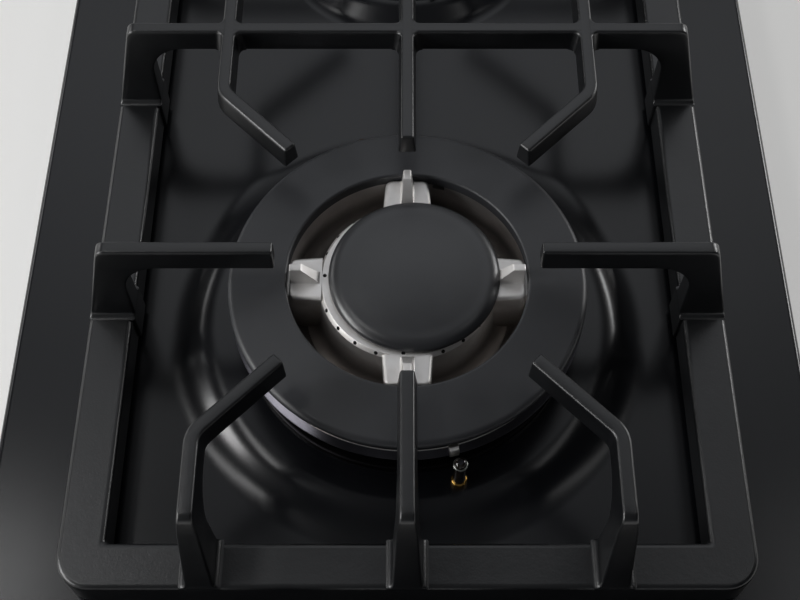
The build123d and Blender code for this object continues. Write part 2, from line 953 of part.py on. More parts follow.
def spindle(side):
    """Tap spindle with a flat along its upper end."""
    x = side * knob_x
    foot = tap_high_z + bonnet_height - tap_bore_depth + press_travel + 1 + plunger_length
    high = knob_low() + knob_boss_recess + spindle_engagement
    body = rod(spindle_r, foot, high, x, knob_y)
    cut_low = high - spindle_engagement - 6
    depth = 2 * spindle_r
    cut = Pos(x, knob_y - spindle_r + spindle_flat - depth / 2, (cut_low + high) / 2) * Box(
        depth, depth, high - cut_low
    )
    return body - cut


def ignition_switch(side):
    """Micro-switch housing round the spindle, on top of the tap."""
    x = side * knob_x
    low = tap_high_z + bonnet_height
    body = block(switch_width, switch_depth, low, low + switch_height, x, knob_y, 1.5)
    return body - rod(switch_bore_r, low, low + switch_height, x, knob_y)


def knob(side):
    """Hollow knob with a drafted skirt, a boss for the spindle's flat and a pointer groove."""
    x = side * knob_x
    low = knob_low()
    high = low + knob_height
    draft = knob_r - knob_top_r
    shell = turned(
        [
            (0, low + knob_boss_recess),
            (knob_boss_r, low + knob_boss_recess),
            (knob_boss_r, high - knob_wall - 1, 1.0),
            (knob_top_r - knob_wall, high - knob_wall - 1, 1.0),
            (knob_r - knob_wall, low),
            (knob_r, low, 0.5),
            (knob_r - draft * 0.15, low + knob_height * 0.15),
            (knob_top_r, high, knob_edge),
            (0, high),
        ],
        knob_y,
        x,
    )
    bore = rod(spindle_r + running_clearance, low + knob_boss_recess, low + knob_boss_recess + spindle_engagement)
    flat = Pos(0, -spindle_r + spindle_flat - running_clearance - spindle_r, low + knob_height / 2) * Box(
        2 * spindle_r + 1, 2 * spindle_r, knob_height
    )
    shell -= Pos(x, knob_y) * (bore - flat)
    groove_length = knob_top_r - 4
    groove = Pos(x, knob_y + 4 + groove_length / 2, high) * Box(pointer_width, groove_length, 2 * pointer_depth)
    return shell - groove


def gaskets():
    """Rubber rings that close the spindle holes."""
    rings = []
    for side in (-1, 1):
        x = side * knob_x
        inner = spindle_r + slip_clearance
        rings.append(
            turned(
                [
                    (inner, plate_under),
                    (spindle_hole_r, plate_under),
                    (spindle_hole_r, plate_top),
                    (gasket_r, plate_top),
                    (gasket_r - 0.6, plate_top + gasket_height, 0.3),
                    (inner, plate_top + gasket_height),
                ],
                knob_y,
                x,
            )
        )
    return rings


def supply_pipe(side, axis_y):
    """Pipe from a tap's outlet back along the box and across to its burner."""
    start = side * (knob_x + tap_width / 2 + outlet_length)
    end = side * holder_r
    far = side * pipe_x
    points = [(start, knob_y, pipe_z), (far, knob_y, pipe_z), (far, axis_y, pipe_z), (end, axis_y, pipe_z)]
    return tube(points, pipe_r, pipe_wall, pipe_bend - pipe_end)


def injector_holder(side, axis_y):
    """Fitting under a burner cup that turns the gas up into the injector."""
    holder = rod(holder_r, holder_low_z, cup_floor_z, y=axis_y)
    holder -= rod(jet_r - 1, pipe_z, cup_floor_z, y=axis_y)
    passage = cross_rod(pipe_r - pipe_wall, (0, axis_y, pipe_z), (side * holder_r * 2, axis_y, pipe_z))
    holder -= passage
    outline = cross_rod(pipe_r, (side * holder_r, axis_y, pipe_z), (side * holder_r * 2, axis_y, pipe_z))
    return holder - outline


def injector(axis_y):
    """Brass jet in the middle of the cup's floor."""
    jet = rod(jet_r, cup_floor_z, cup_floor_z + jet_length, y=axis_y)
    return jet - rod(jet_bore_r, cup_floor_z, cup_floor_z + jet_length, y=axis_y)


def inlet_pipe():
    """Straight pipe from the gas rail to the inlet connector."""
    end_y = box_length / 2 - notch_length - box_sheet - inlet_collar
    pipe = tube([(inlet_x, rail_y(), rail_z), (inlet_x, end_y, rail_z)], inlet_pipe_r, pipe_wall, 0)
    return pipe - rail_body()


def inlet_connector():
    """Threaded gas inlet: collar inside, hexagon and male pipe thread outside."""
    wall_y = box_length / 2 - notch_length
    inside = wall_y - box_sheet - inlet_collar
    end = wall_y + inlet_hex_length + inlet_thread_length
    body = cross_rod(inlet_collar_r + 3, (inlet_x, inside, rail_z), (inlet_x, wall_y - box_sheet, rail_z))
    body += cross_rod(inlet_collar_r, (inlet_x, inside, rail_z), (inlet_x, wall_y, rail_z))
    hexagon = RegularPolygon(inlet_hex / 2, 6, major_radius=False)
    body += extrude(Plane((inlet_x, wall_y, rail_z), z_dir=(0, 1, 0)) * hexagon, inlet_hex_length)
    body += cross_rod(inlet_thread_r, (inlet_x, wall_y + inlet_hex_length, rail_z), (inlet_x, end, rail_z))
    body -= cross_rod(inlet_pipe_r - pipe_wall, (inlet_x, inside, rail_z), (inlet_x, end, rail_z))
    return body - cross_rod(inlet_bore_r, (inlet_x, wall_y + inlet_hex_length, rail_z), (inlet_x, end, rail_z))


# ---- grate


def bar(points, bend=0.0):
    """Cast bar along a level path, narrower on top."""
    route = FilletPolyline(*points, radius=bend) if len(points) > 2 else Line(*points)
    half = bar_top / 2
    section = make_face(
        Polyline(
            (-half, 0),
            (half, 0),
            (half + bar_draft, -bar_height),
            (-half - bar_draft, -bar_height),
            close=True,
        )
    )
    heading = route % 0
    level = Plane(origin=route @ 0, x_dir=Vector(0, 0, 1).cross(heading), z_dir=heading)
    return sweep(level * section, path=route)


def leg():
    """Leg at the end of a bar that runs out along +X: curved behind, sloped in front, wider at the foot."""
    under = grate_top - bar_height
    side = profile(
        [
            (-leg_setback, grate_top),
            (0, base_high),
            (0, base_low),
            (-base_width, base_low),
            (-base_width, base_high),
            (-base_width - 1, under, leg_curve),
            (-base_width - 1.5 * leg_curve, under),
            (-base_width - 1.5 * leg_curve, grate_top),
        ]
    )
    body = extrude(Plane.XZ * side, leg_foot_width, both=True)
    half = bar_top / 2
    foot = leg_foot_width / 2
    spread = make_face(
        Polyline(
            (-half, grate_top),
            (half, grate_top),
            (half + bar_draft, under),
            (foot, base_high),
            (foot, base_low),
            (-foot, base_low),
            (-foot, base_high),
            (-half - bar_draft, under),
            close=True,
        )
    )
    reach = base_width + 2 * leg_curve
    return body & Pos(-reach, 0, 0) * extrude(Plane.YZ * spread, reach)


def corner_finger(axis_y, side, end, tip_r, run_end):
    """Diagonal finger that bends into a fore-and-aft side bar."""
    tip = tip_r / 2**0.5
    points = [
        (side * tip, axis_y + end * tip, grate_top),
        (side * side_bar_x, axis_y + end * side_bar_x, grate_top),
        (side * side_bar_x, run_end, grate_top),
    ]
    return bar(points, finger_bend)


def grate():
    """One-piece cast grate: low base frame, legs, side bars, crossbar and fingers round both burners."""
    front = wok_y - grate_front
    back = rear_y + grate_back
    mid_y = (front + back) / 2
    length = back - front
    inner_length = length - 2 * base_width
    inner_width = 2 * (grate_half_width - base_width)
    body = block(2 * grate_half_width, length, base_low, base_high, 0, mid_y, base_corner)
    body -= block(inner_width, inner_length, base_low, base_high, 0, mid_y, base_corner / 2)
    bar_front = front + leg_setback
    bar_back = back - leg_setback
    bar_side = grate_half_width - leg_setback
    body += bar([(0, bar_front, grate_top), (0, wok_y - finger_tip_r, grate_top)])
    body += bar([(0, wok_y + finger_tip_r, grate_top), (0, rear_y - rear_finger_tip_r, grate_top)])
    body += bar([(0, rear_y + rear_finger_tip_r, grate_top), (0, bar_back, grate_top)])
    body += bar([(-bar_side, cross_y, grate_top), (bar_side, cross_y, grate_top)])
    for side in (-1, 1):
        for axis_y, tip_r in ((wok_y, finger_tip_r), (rear_y, rear_finger_tip_r)):
            body += bar([(side * tip_r, axis_y, grate_top), (side * bar_side, axis_y, grate_top)])
        body += corner_finger(wok_y, side, -1, corner_finger_tip_r, bar_front)
        body += corner_finger(wok_y, side, 1, corner_finger_tip_r, cross_y)
        body += corner_finger(rear_y, side, -1, rear_corner_tip_r, cross_y)
        body += corner_finger(rear_y, side, 1, rear_corner_tip_r, bar_back)
    post = leg()
    for x in (-side_bar_x, 0, side_bar_x):
        body += Pos(x, front) * Rot(0, 0, -90) * post
        body += Pos(x, back) * Rot(0, 0, 90) * post
    for y in (wok_y, cross_y, rear_y):
        body += Pos(grate_half_width, y) * post
        body += Pos(-grate_half_width, y) * Rot(0, 0, 180) * post
    for x, y in foot_places():
        body -= rod(foot_stud_r, base_low, base_low + foot_stud, x, y)
    return body


def foot_places():
    """Plan positions of the rubber feet under the base frame."""
    front = wok_y - grate_front
    back = rear_y + grate_back
    x = grate_half_width - base_width / 2
    rows = [front + foot_inset, (front + back) / 2, back - foot_inset]
    return [(side * x, y) for side in (-1, 1) for y in rows]


def grate_feet():
    """Rubber feet, each with a stud pressed up into the casting."""
    feet = []
    for x, y in foot_places():
        pad = rod(foot_r, plate_top + body_gap, base_low, x, y)
        feet.append(pad + rod(foot_stud_r, base_low, base_low + foot_stud, x, y))
    return feet


def write(name, shape):
    """Write one node; a list is a group of separate solids."""
    solids = shape if isinstance(shape, list) else [shape]
    bodies = [solid for item in solids for solid in item.solids()]
    shape = Compound(children=bodies) if len(bodies) > 1 else bodies[0]
    shape.label = name
    export_step(shape, f"parts/{name}.step")


def main():
    """Build every piece and write its file."""
    os.makedirs("parts", exist_ok=True)
    write("top_plate", top_plate())
    write("burner_box", burner_box())
    write("worktop_seal", worktop_seal())
    write("clamp_brackets", clamp_brackets())
    write("clamp_screws", clamp_screws())
    write("front_support_rail", support_rail(wok_y, wok_screw_r))
    write("rear_support_rail", support_rail(rear_y, rear_screw_r))
    write("cup_screws", cup_screws())
    write("wok_cup", wok_cup())
    write("wok_spreader", wok_spreader())
    write("wok_ring_cap", wok_ring_cap())
    write("wok_centre_cap", wok_centre_cap())
    write("rear_cup", rear_cup())
    write("rear_spreader", rear_spreader())
    write("rear_cap", rear_cap())
    for burner, place in enumerate(("front", "rear")):
        ceramic, pin = electrode(burner)
        write(f"{place}_electrode_ceramic", ceramic)
        write(f"{place}_electrode_pin", pin)
        write(f"{place}_thermocouple", thermocouple(burner))
    write("spark_module", spark_module())
    write("terminal_block", terminal_block())
    write("cable_gland", cable_gland())
    write("gas_rail", gas_rail())
    write("rail_saddles", rail_saddles())
    write("inlet_pipe", inlet_pipe())
    write("inlet_connector", inlet_connector())
    write("spindle_gaskets", gaskets())
    for place, side, axis_y in (("front", -1, wok_y), ("rear", 1, rear_y)):
        write(f"{place}_tap", tap_body(side))
        write(f"{place}_tap_plunger", tap_plunger(side))
        write(f"{place}_spindle", spindle(side))
        write(f"{place}_ignition_switch", ignition_switch(side))
        write(f"{place}_knob", knob(side))
        write(f"{place}_supply_pipe", supply_pipe(side, axis_y))
        write(f"{place}_injector_holder", injector_holder(side, axis_y))
        write(f"{place}_injector", injector(axis_y))
    write("grate", grate())
    write("grate_feet", grate_feet())


main()
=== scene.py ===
"""Two-burner gas cooktop: enamelled plate, three-ring front burner, rear burner, cast grate and controls.

Sizes are in millimetres in the fields and in metres in the meshes. X runs to the right, Y to the back and
Z up, with the origin at the middle of the burner box's floor. Outlines list (a, b) or (a, b, radius) corners.
"""

from __future__ import annotations

import logging
import math
from collections.abc import Sequence
from dataclasses import dataclass
from enum import Enum

import bmesh
import bpy
import numpy as np
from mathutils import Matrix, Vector

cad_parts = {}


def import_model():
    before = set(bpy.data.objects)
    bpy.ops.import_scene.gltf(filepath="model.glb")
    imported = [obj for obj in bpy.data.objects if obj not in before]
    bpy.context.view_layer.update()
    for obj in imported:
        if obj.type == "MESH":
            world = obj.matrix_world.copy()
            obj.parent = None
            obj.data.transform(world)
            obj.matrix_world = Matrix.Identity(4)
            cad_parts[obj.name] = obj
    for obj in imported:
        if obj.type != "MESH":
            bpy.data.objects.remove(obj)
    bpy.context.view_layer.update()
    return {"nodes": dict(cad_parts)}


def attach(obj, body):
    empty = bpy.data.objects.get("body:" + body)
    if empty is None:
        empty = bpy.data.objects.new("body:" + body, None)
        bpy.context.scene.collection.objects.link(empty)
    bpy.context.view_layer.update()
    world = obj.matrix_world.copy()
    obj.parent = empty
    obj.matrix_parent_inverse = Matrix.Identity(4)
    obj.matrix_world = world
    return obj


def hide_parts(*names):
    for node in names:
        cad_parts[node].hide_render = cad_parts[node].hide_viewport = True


log = logging.getLogger("cooktop")

MM = 0.001
SHARP = math.radians(34)
HAIR = 0.01
MIRROR = np.array([-1.0, 1.0])


class Body(Enum):
    """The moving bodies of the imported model."""

    HOB = "hob"
    GRATE = "grate_body"
    WOK_HEAD = "wok_head"
    WOK_RING = "wok_ring"
    WOK_CENTRE = "wok_centre"
    REAR_HEAD = "rear_head"
    REAR_LID = "rear_lid"
    FRONT_CONTROL = "front_control"
    REAR_CONTROL = "rear_control"


class Slot(Enum):
    """Material slots of the record; the electrode and knob pieces list one each, but the code does not apply
    them.
    """

    ENAMEL = "enamel_black"
    MATT = "enamel_matt"
    IRON = "cast_iron_enamelled"
    DIE_CAST = "die_cast_aluminium"
    PIN = "stainless_pin"
    BRASS = "brass"
    INSULATOR = "insulator"
    PLASTIC = "black_plastic"


# ---- finishes

PATCH_DETAIL, GRAIN_DETAIL, WAVE_DETAIL = 4.0, 3.0, 1.0
PATCH_SPAN = (0.3, 0.7)


def linear(hex_colour: str) -> tuple[float, float, float, float]:
    """Turn an sRGB hex colour into linear RGBA.

    Args:
        hex_colour: Six hex digits after a hash.

    Returns:
        Red, green, blue and an alpha of 1.
    """
    parts = np.array([int(hex_colour[i : i + 2], 16) for i in (1, 3, 5)]) / 255
    low = parts / 12.92
    high = ((parts + 0.055) / 1.055) ** 2.4
    red, green, blue = np.where(parts <= 0.04045, low, high)
    return float(red), float(green), float(blue), 1.0


def add(
    tree: bpy.types.NodeTree, kind: str, settings: dict, **links: bpy.types.Node | bpy.types.NodeSocket
) -> bpy.types.Node:
    """Add a shader node with its settings and links.

    Args:
        tree: Node tree that takes the node.
        kind: Blender's node type.
        settings: Socket values by input name or index, and node properties after a dot.
        links: Sources by input name, with underscores for spaces, or by index after an underscore. A source
            is an output socket, or a node for its first output.

    Returns:
        The new node.
    """
    made = tree.nodes.new(kind)
    for key, value in settings.items():
        if isinstance(key, str) and key.startswith("."):
            setattr(made, key[1:], value)
        else:
            made.inputs[key].default_value = value
    for key, source in links.items():
        name = int(key[1:]) if key[0] == "_" and key[1:].isdigit() else key.replace("_", " ")
        socket = source if isinstance(source, bpy.types.NodeSocket) else source.outputs[0]
        tree.links.new(socket, made.inputs[name])
    return made


@dataclass(frozen=True)
class Finish:
    """A surface finish: its colours, gloss and the patterns that break them up.

    The patch is a soft blotch of colour and gloss, the grain is the fine relief of the surface, and the wave
    is a broad, shallow relief. Each pattern's size is the width of its features. A foot colour takes over
    below a band of heights: it is painted shade that darkens the lower, deeper parts of a casting.
    """

    name: str
    colour: str
    second: str
    roughness: float
    roughness_range: float = 0.06
    metallic: float = 0.0
    ior: float = 1.5
    coat: float = 0.0
    coat_roughness: float = 0.05
    patch_mm: float = 30.0
    grain_mm: float = 0.6
    grain_height_mm: float = 0.01
    wave_mm: float = 0.0
    wave_height_mm: float = 0.0
    # foot: colour of painted shade that takes over lower down; the next field gives the heights in mm over
    # which it fades in.
    foot: str = ""
    painted_shade_mm: tuple[float, float] = (0.0, 1.0)

    def material(self) -> bpy.types.Material:
        """Build the node material once and hand it back each time after that.

        Returns:
            The material.
        """
        known = bpy.data.materials.get(self.name)
        if known is not None:
            return known
        made = bpy.data.materials.new(self.name)
        made.use_nodes = True
        tree = made.node_tree
        tree.nodes.clear()
        place = add(tree, "ShaderNodeTexCoord", {}).outputs["Object"]
        sizes = ((self.patch_mm, PATCH_DETAIL), (self.grain_mm, GRAIN_DETAIL), (self.wave_mm, WAVE_DETAIL))
        patch, *reliefs = [
            add(tree, "ShaderNodeTexNoise", {"Scale": 1 / (size * MM), "Detail": detail}, Vector=place)
            for size, detail in sizes
            if size
        ]
        blend = add(tree, "ShaderNodeMapRange", {1: PATCH_SPAN[0], 2: PATCH_SPAN[1]}, _0=patch)
        pair = {".data_type": "RGBA", 6: linear(self.colour), 7: linear(self.second)}
        colour = add(tree, "ShaderNodeMix", pair, _0=blend).outputs[2]
        # Painted shade: below the band of heights the foot colour takes over, darkening the lower parts.
        if self.foot:
            height = add(tree, "ShaderNodeSeparateXYZ", {}, Vector=place).outputs["Z"]
            low, high = self.painted_shade_mm
            rise = add(tree, "ShaderNodeMapRange", {1: low * MM, 2: high * MM}, _0=height)
            pair = {".data_type": "RGBA", 6: linear(self.foot)}
            colour = add(tree, "ShaderNodeMix", pair, _0=rise, _7=colour).outputs[2]
        span = {3: self.roughness - self.roughness_range, 4: self.roughness + self.roughness_range}
        gloss = add(tree, "ShaderNodeMapRange", span, _0=patch)
        normal = {}
        for relief, height in zip(reliefs, (self.grain_height_mm, self.wave_height_mm)):
            depth = {"Strength": 1.0, "Distance": height * MM}
            normal = {"Normal": add(tree, "ShaderNodeBump", depth, Height=relief, **normal)}
        settings = {"Metallic": self.metallic, "Coat Weight": self.coat}
        settings["Coat Roughness"] = self.coat_roughness
        if not self.metallic:
            settings["IOR"] = self.ior
        shader = add(tree, "ShaderNodeBsdfPrincipled", settings, Base_Color=colour, Roughness=gloss, **normal)
        add(tree, "ShaderNodeOutputMaterial", {}, Surface=shader)
        return made


# Vitreous enamel on pressed steel: deep black, glossy, with the faint waviness of a fired coat.
PLATE_ENAMEL = Finish(
    "black vitreous enamel", "#0b0c0f", "#0f1014", 0.22, 0.03, ior=1.52,
    patch_mm=60, grain_mm=0.5, grain_height_mm=0.003, wave_mm=9, wave_height_mm=0.010,
)
# Matt enamel on the burner caps: a dry, slightly sandy black.
CAP_ENAMEL = Finish(
    "matt black cap enamel", "#2b2c2f", "#303134", 0.42, 0.04, ior=1.57,
    patch_mm=14, grain_mm=0.5, grain_height_mm=0.02, wave_mm=4, wave_height_mm=0.02,
)
# The same on the small domed cap, polished by wiping.
DOME_ENAMEL = Finish(
    "worn matt cap enamel", "#1e1f22", "#232427", 0.35, 0.04, ior=1.74,
    patch_mm=11, grain_mm=0.5, grain_height_mm=0.02, wave_mm=4, wave_height_mm=0.015,
)
# Grey cast iron under matt enamel: soft highlights and the grain of the sand mould.
IRON_ENAMEL = Finish(
    "matt enamelled cast iron", "#0d0e10", "#111214", 0.32, 0.05, ior=1.68,
    patch_mm=12, grain_mm=0.7, grain_height_mm=0.035, wave_mm=3, wave_height_mm=0.03,
)
# Pressure die-cast aluminium alloy, shot-blasted: bright and satin.
DIE_CAST = Finish(
    "die-cast aluminium", "#f1efec", "#dfdcd8", 0.30, 0.05, metallic=1.0,
    patch_mm=7, grain_mm=0.35, grain_height_mm=0.006,
)
# The hub and its arms: the same alloy, pale and dull on top, with painted shade darkening it lower down.
CROWN_CAST = Finish(
    "die-cast aluminium with painted shade low down", "#f6f4f2", "#e9e6e3", 0.50, 0.05, metallic=1.0,
    patch_mm=6, grain_mm=0.35, grain_height_mm=0.005, foot="#8f8883", painted_shade_mm=(66.0, 79.0),
)
# The flame ring and its well: the same alloy, with painted shade turning it dark brown-grey at the bottom of
# the well.
WELL_CAST = Finish(
    "cast aluminium with painted well shade", "#efebe9", "#dcd8d5", 0.46, 0.06, metallic=1.0,
    patch_mm=9, grain_mm=0.4, grain_height_mm=0.008, foot="#524e4b", painted_shade_mm=(65.0, 77.0),
)
# The band round the flame ring: blackened by heat, satin.
BAND_CAST = Finish(
    "blackened cast band", "#4c4b50", "#403f43", 0.30, 0.05, metallic=1.0,
    patch_mm=10, grain_mm=0.4, grain_height_mm=0.008,
)
# The cup below the flame spreader: the same alloy, black with heat.
CUP_CAST = Finish(
    "heat-darkened cast aluminium", "#232224", "#19181a", 0.42, 0.08, metallic=1.0,
    patch_mm=9, grain_mm=0.5, grain_height_mm=0.02,
)
# Painted shade of the small ports: black, dead matt discs that stand in for the dark inside the holes.
PAINTED_PORT_SHADE = Finish(
    "painted port shade", "#050505", "#090808", 0.9, 0.05, ior=1.4,
    patch_mm=2, grain_mm=0.3, grain_height_mm=0.01,
)
# Zinc-coated steel sheet: pale grey with broad spangles.
ZINC_SHEET = Finish(
    "galvanised steel sheet", "#a9adb0", "#8e9397", 0.38, 0.10, metallic=1.0,
    patch_mm=8, grain_mm=1.2, grain_height_mm=0.01,
)
# Bright zinc-plated steel of screws.
SCREW_STEEL = Finish(
    "zinc-plated screw steel", "#b9bbb6", "#9fa29c", 0.28, 0.06, metallic=1.0,
    patch_mm=2, grain_mm=0.3, grain_height_mm=0.004,
)
# Machined brass of injectors, taps and fittings.
TURNED_BRASS = Finish(
    "machined brass", "#c8a05a", "#b08a48", 0.26, 0.06, metallic=1.0,
    patch_mm=5, grain_mm=0.25, grain_height_mm=0.004,
)
# Steel sheath of the thermocouple, browned by heat.
PROBE_STEEL = Finish(
    "heat-browned probe steel", "#4a423d", "#393330", 0.38, 0.08, metallic=1.0,
    patch_mm=4, grain_mm=0.3, grain_height_mm=0.006,
)
# Brown-black glazed ceramic of the spark insulator: smooth and shiny.
GLAZED_CERAMIC = Finish(
    "dark glazed insulator ceramic", "#17130f", "#1f1913", 0.12, 0.04, ior=1.6, coat=0.6,
    patch_mm=3, grain_mm=0.4, grain_height_mm=0.002,
)
# Moulded phenolic plastic of the knobs and switches: black with a faint spark-eroded grain.
KNOB_PLASTIC = Finish(
    "moulded black plastic", "#161617", "#1a1a1b", 0.36, 0.05, ior=1.48,
    patch_mm=10, grain_mm=0.35, grain_height_mm=0.012,
)
# Moulded pale nylon of the spark unit and the terminal block.
PALE_NYLON = Finish(
    "moulded pale nylon", "#d8d5cb", "#cbc7bc", 0.42, 0.05, ior=1.53,
    patch_mm=12, grain_mm=0.5, grain_height_mm=0.01,
)
# Closed-cell foam strip: dark grey, dull, with fine cells.
CELL_FOAM = Finish(
    "closed-cell foam", "#2c2d2f", "#38393b", 0.85, 0.08, ior=1.45,
    patch_mm=3, grain_mm=0.5, grain_height_mm=0.12,
)
# Moulded silicone rubber of feet and gaskets: dark and soft-looking.
SILICONE = Finish(
    "moulded silicone rubber", "#1d1d1e", "#242425", 0.6, 0.06, ior=1.43,
    patch_mm=5, grain_mm=0.4, grain_height_mm=0.015,
)
# White paint of the knob's pointer.
POINTER_PAINT = Finish(
    "white pointer paint", "#e9e9e6", "#dededa", 0.4, 0.05, ior=1.5,
    patch_mm=4, grain_mm=0.3, grain_height_mm=0.01,
)
# Grey enamel print of the marks round the knobs: fired into the plate's enamel.
PRINT_ENAMEL = Finish(
    "fired grey print", "#b9bbbd", "#aeb0b2", 0.34, 0.03, ior=1.52,
    patch_mm=6, grain_mm=0.4, grain_height_mm=0.003,
)

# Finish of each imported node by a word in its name; the first word that fits counts.
NODE_FINISHES: tuple[tuple[tuple[str, ...], Finish], ...] = (
    (("screws",), SCREW_STEEL),
    (("box", "bracket", "rail"), ZINC_SHEET),
    (("seal",), CELL_FOAM),
    (("gasket", "feet"), SILICONE),
    (("wok_cup", "rear_cup"), CUP_CAST),
    (("thermocouple",), PROBE_STEEL),
    (("module", "terminal"), PALE_NYLON),
    (("knob", "switch", "gland"), KNOB_PLASTIC),
    (("ceramic",), GLAZED_CERAMIC),
    (("electrode_pin",), BAND_CAST),
    (("connector", "injector", "tap"), TURNED_BRASS),
    (("spindle",), SCREW_STEEL),
    (("",), DIE_CAST),
)


def dress_nodes(nodes: dict[str, bpy.types.Object]) -> None:
    """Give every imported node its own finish.

    Args:
        nodes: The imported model's nodes by name.
    """
    for name, node in nodes.items():
        finish = next(finish for words, finish in NODE_FINISHES if any(word in name for word in words))
        node.data.materials.clear()
        node.data.materials.append(finish.material())


# ---- meshes from numpy


@dataclass
class Skin:
    """Points and four-cornered faces of a surface; a triangle repeats a corner."""

    points: np.ndarray
    faces: np.ndarray

    @staticmethod
    def join(skins: Sequence[Skin]) -> Skin:
        """Put several skins into one, with their faces renumbered.

        Args:
            skins: The skins, in order.

        Returns:
            The one skin.
        """
        starts = np.cumsum([0] + [len(skin.points) for skin in skins[:-1]])
        faces = [skin.faces + start for skin, start in zip(skins, starts)]
        return Skin(np.concatenate([skin.points for skin in skins]), np.concatenate(faces))

    def welded(self) -> Skin:
        """Merge points that lie within a hundredth of a millimetre.

        Returns:
            The skin with each place held once.
        """
        key = np.round(self.points / HAIR).astype(np.int64)
        _, first, back = np.unique(key, axis=0, return_index=True, return_inverse=True)
        return Skin(self.points[first], back.reshape(-1)[self.faces])

    def moved(self, x: float = 0.0, y: float = 0.0, z: float = 0.0, turn: float = 0.0) -> Skin:
        """Turn the skin about Z and then shift it.

        Args:
            x: Shift to the right.
            y: Shift to the back.
            z: Shift upwards.
            turn: Degrees, counter-clockwise from above.

        Returns:
            The skin at its new place.
        """
        c, s = math.cos(math.radians(turn)), math.sin(math.radians(turn))
        matrix = np.array([[c, s, 0], [-s, c, 0], [0, 0, 1]])
        return Skin(self.points @ matrix + np.array([x, y, z]), self.faces)


def lattice(points: np.ndarray, ring: bool = False) -> Skin:
    """Faces between neighbouring points of a grid whose last column meets its first.

    Args:
        points: Rows by columns by 3.
        ring: Whether the last row meets the first.

    Returns:
        The skin of quads.
    """
    rows, columns = points.shape[:2]
    number = np.arange(rows * columns).reshape(rows, columns)
    number = np.concatenate([number, number[:, :1]], axis=1)
    if ring:
        number = np.concatenate([number, number[:1]])
    quads = np.stack([number[:-1, :-1], number[:-1, 1:], number[1:, 1:], number[1:, :-1]], axis=-1)
    return Skin(points.reshape(-1, 3), quads.reshape(-1, 4)).welded()


def rounded(corners: Sequence[tuple], closed: bool = True, steps: int = 7, guard: float = 0.25) -> np.ndarray:
    """Outline through corners, each rounded by an arc tangent to its two sides.

    Args:
        corners: (a, b) or (a, b, radius) points.
        closed: Whether the last corner joins the first.
        steps: Parts of each arc.
        guard: Distance of a point kept on the straight side next to each arc, so that it shades flat.

    Returns:
        Points by 2.
    """
    spots = np.array([corner[:2] for corner in corners], float)
    radii = [corner[2] if len(corner) == 3 else 0.0 for corner in corners]
    pieces = []
    for index, (spot, radius) in enumerate(zip(spots, radii)):
        at_end = not closed and index in (0, len(spots) - 1)
        if at_end or radius <= 0:
            pieces.append(spot[None])
            continue
        before, after = spots[index - 1] - spot, spots[(index + 1) % len(spots)] - spot
        before_length, after_length = np.linalg.norm(before), np.linalg.norm(after)
        before, after = before / before_length, after / after_length
        half = math.acos(float(np.clip(before @ after, -1, 1))) / 2
        reach = radius / math.tan(half)
        centre = spot + (before + after) / np.linalg.norm(before + after) * radius / math.sin(half)
        start, end = spot + before * reach - centre, spot + after * reach - centre
        first, last = math.atan2(start[1], start[0]), math.atan2(end[1], end[0])
        sweep = (last - first + math.pi) % (2 * math.pi) - math.pi
        angles = first + sweep * np.linspace(0, 1, steps + 1)
        arc = centre + radius * np.stack([np.cos(angles), np.sin(angles)], axis=1)
        lead = [spot + before * (reach + guard)] if before_length > reach + 3 * guard else []
        tail = [spot + after * (reach + guard)] if after_length > reach + 3 * guard else []
        pieces.append(np.vstack([*lead, arc, *tail]))
    return np.vstack(pieces)


def tongue(
    near: float, far: float, half: float, tip: float, radius: float, steps: int = 7, guard: float = 0.25
) -> np.ndarray:
    """Plan of a tongue along X, square at its near end and with rounded corners at its far one.

    Args:
        near: X of its near end.
        far: X of its far end.
        half: Half its width at the near end.
        tip: Half its width at the far end.
        radius: Radius of the far corners.
        steps: Parts of each arc.
        guard: Straight stretch kept next to each arc.

    Returns:
        Points by 2.
    """
    corners = [(near, -half), (far, -tip, radius), (far, tip, radius), (near, half)]
    return rounded(corners, steps=steps, guard=guard)


def turned(outline: np.ndarray, angles: np.ndarray | int) -> np.ndarray:
    """Points of a surface of revolution: each outline point (r, z) goes round the Z axis.

    Args:
        outline: Points by 2, radius and height.
        angles: The angles in degrees, or how many evenly spaced ones.

    Returns:
        Outline points by angles by 3.
    """
    if isinstance(angles, int):
        angles = np.arange(angles) * 360 / angles
    turn = np.radians(angles)
    radius, height = outline[:, :1], outline[:, 1:2]
    return np.stack([radius * np.cos(turn), radius * np.sin(turn), height + 0 * turn], axis=-1)


def spun(outline: np.ndarray, angles: int, ring: bool = True) -> Skin:
    """Skin of a surface of revolution, whose outline is a ring or ends on the axis."""
    return lattice(turned(outline, angles), ring)


def stacked(outlines: Sequence[np.ndarray], heights: Sequence[float]) -> Skin:
    """Closed upright form: plan outlines one above the other, its ends drawn in to their middles.

    Args:
        outlines: Levels by points by 2.
        heights: Height of each level.

    Returns:
        The closed skin.
    """
    outlines = np.array(outlines)
    rise = np.repeat(np.array(heights, float)[:, None, None], outlines.shape[1], axis=1)
    levels = np.concatenate([outlines, rise], axis=2)
    low = np.broadcast_to(levels[0].mean(axis=0), levels[:1].shape)
    high = np.broadcast_to(levels[-1].mean(axis=0), levels[:1].shape)
    return lattice(np.concatenate([low, levels, high]))


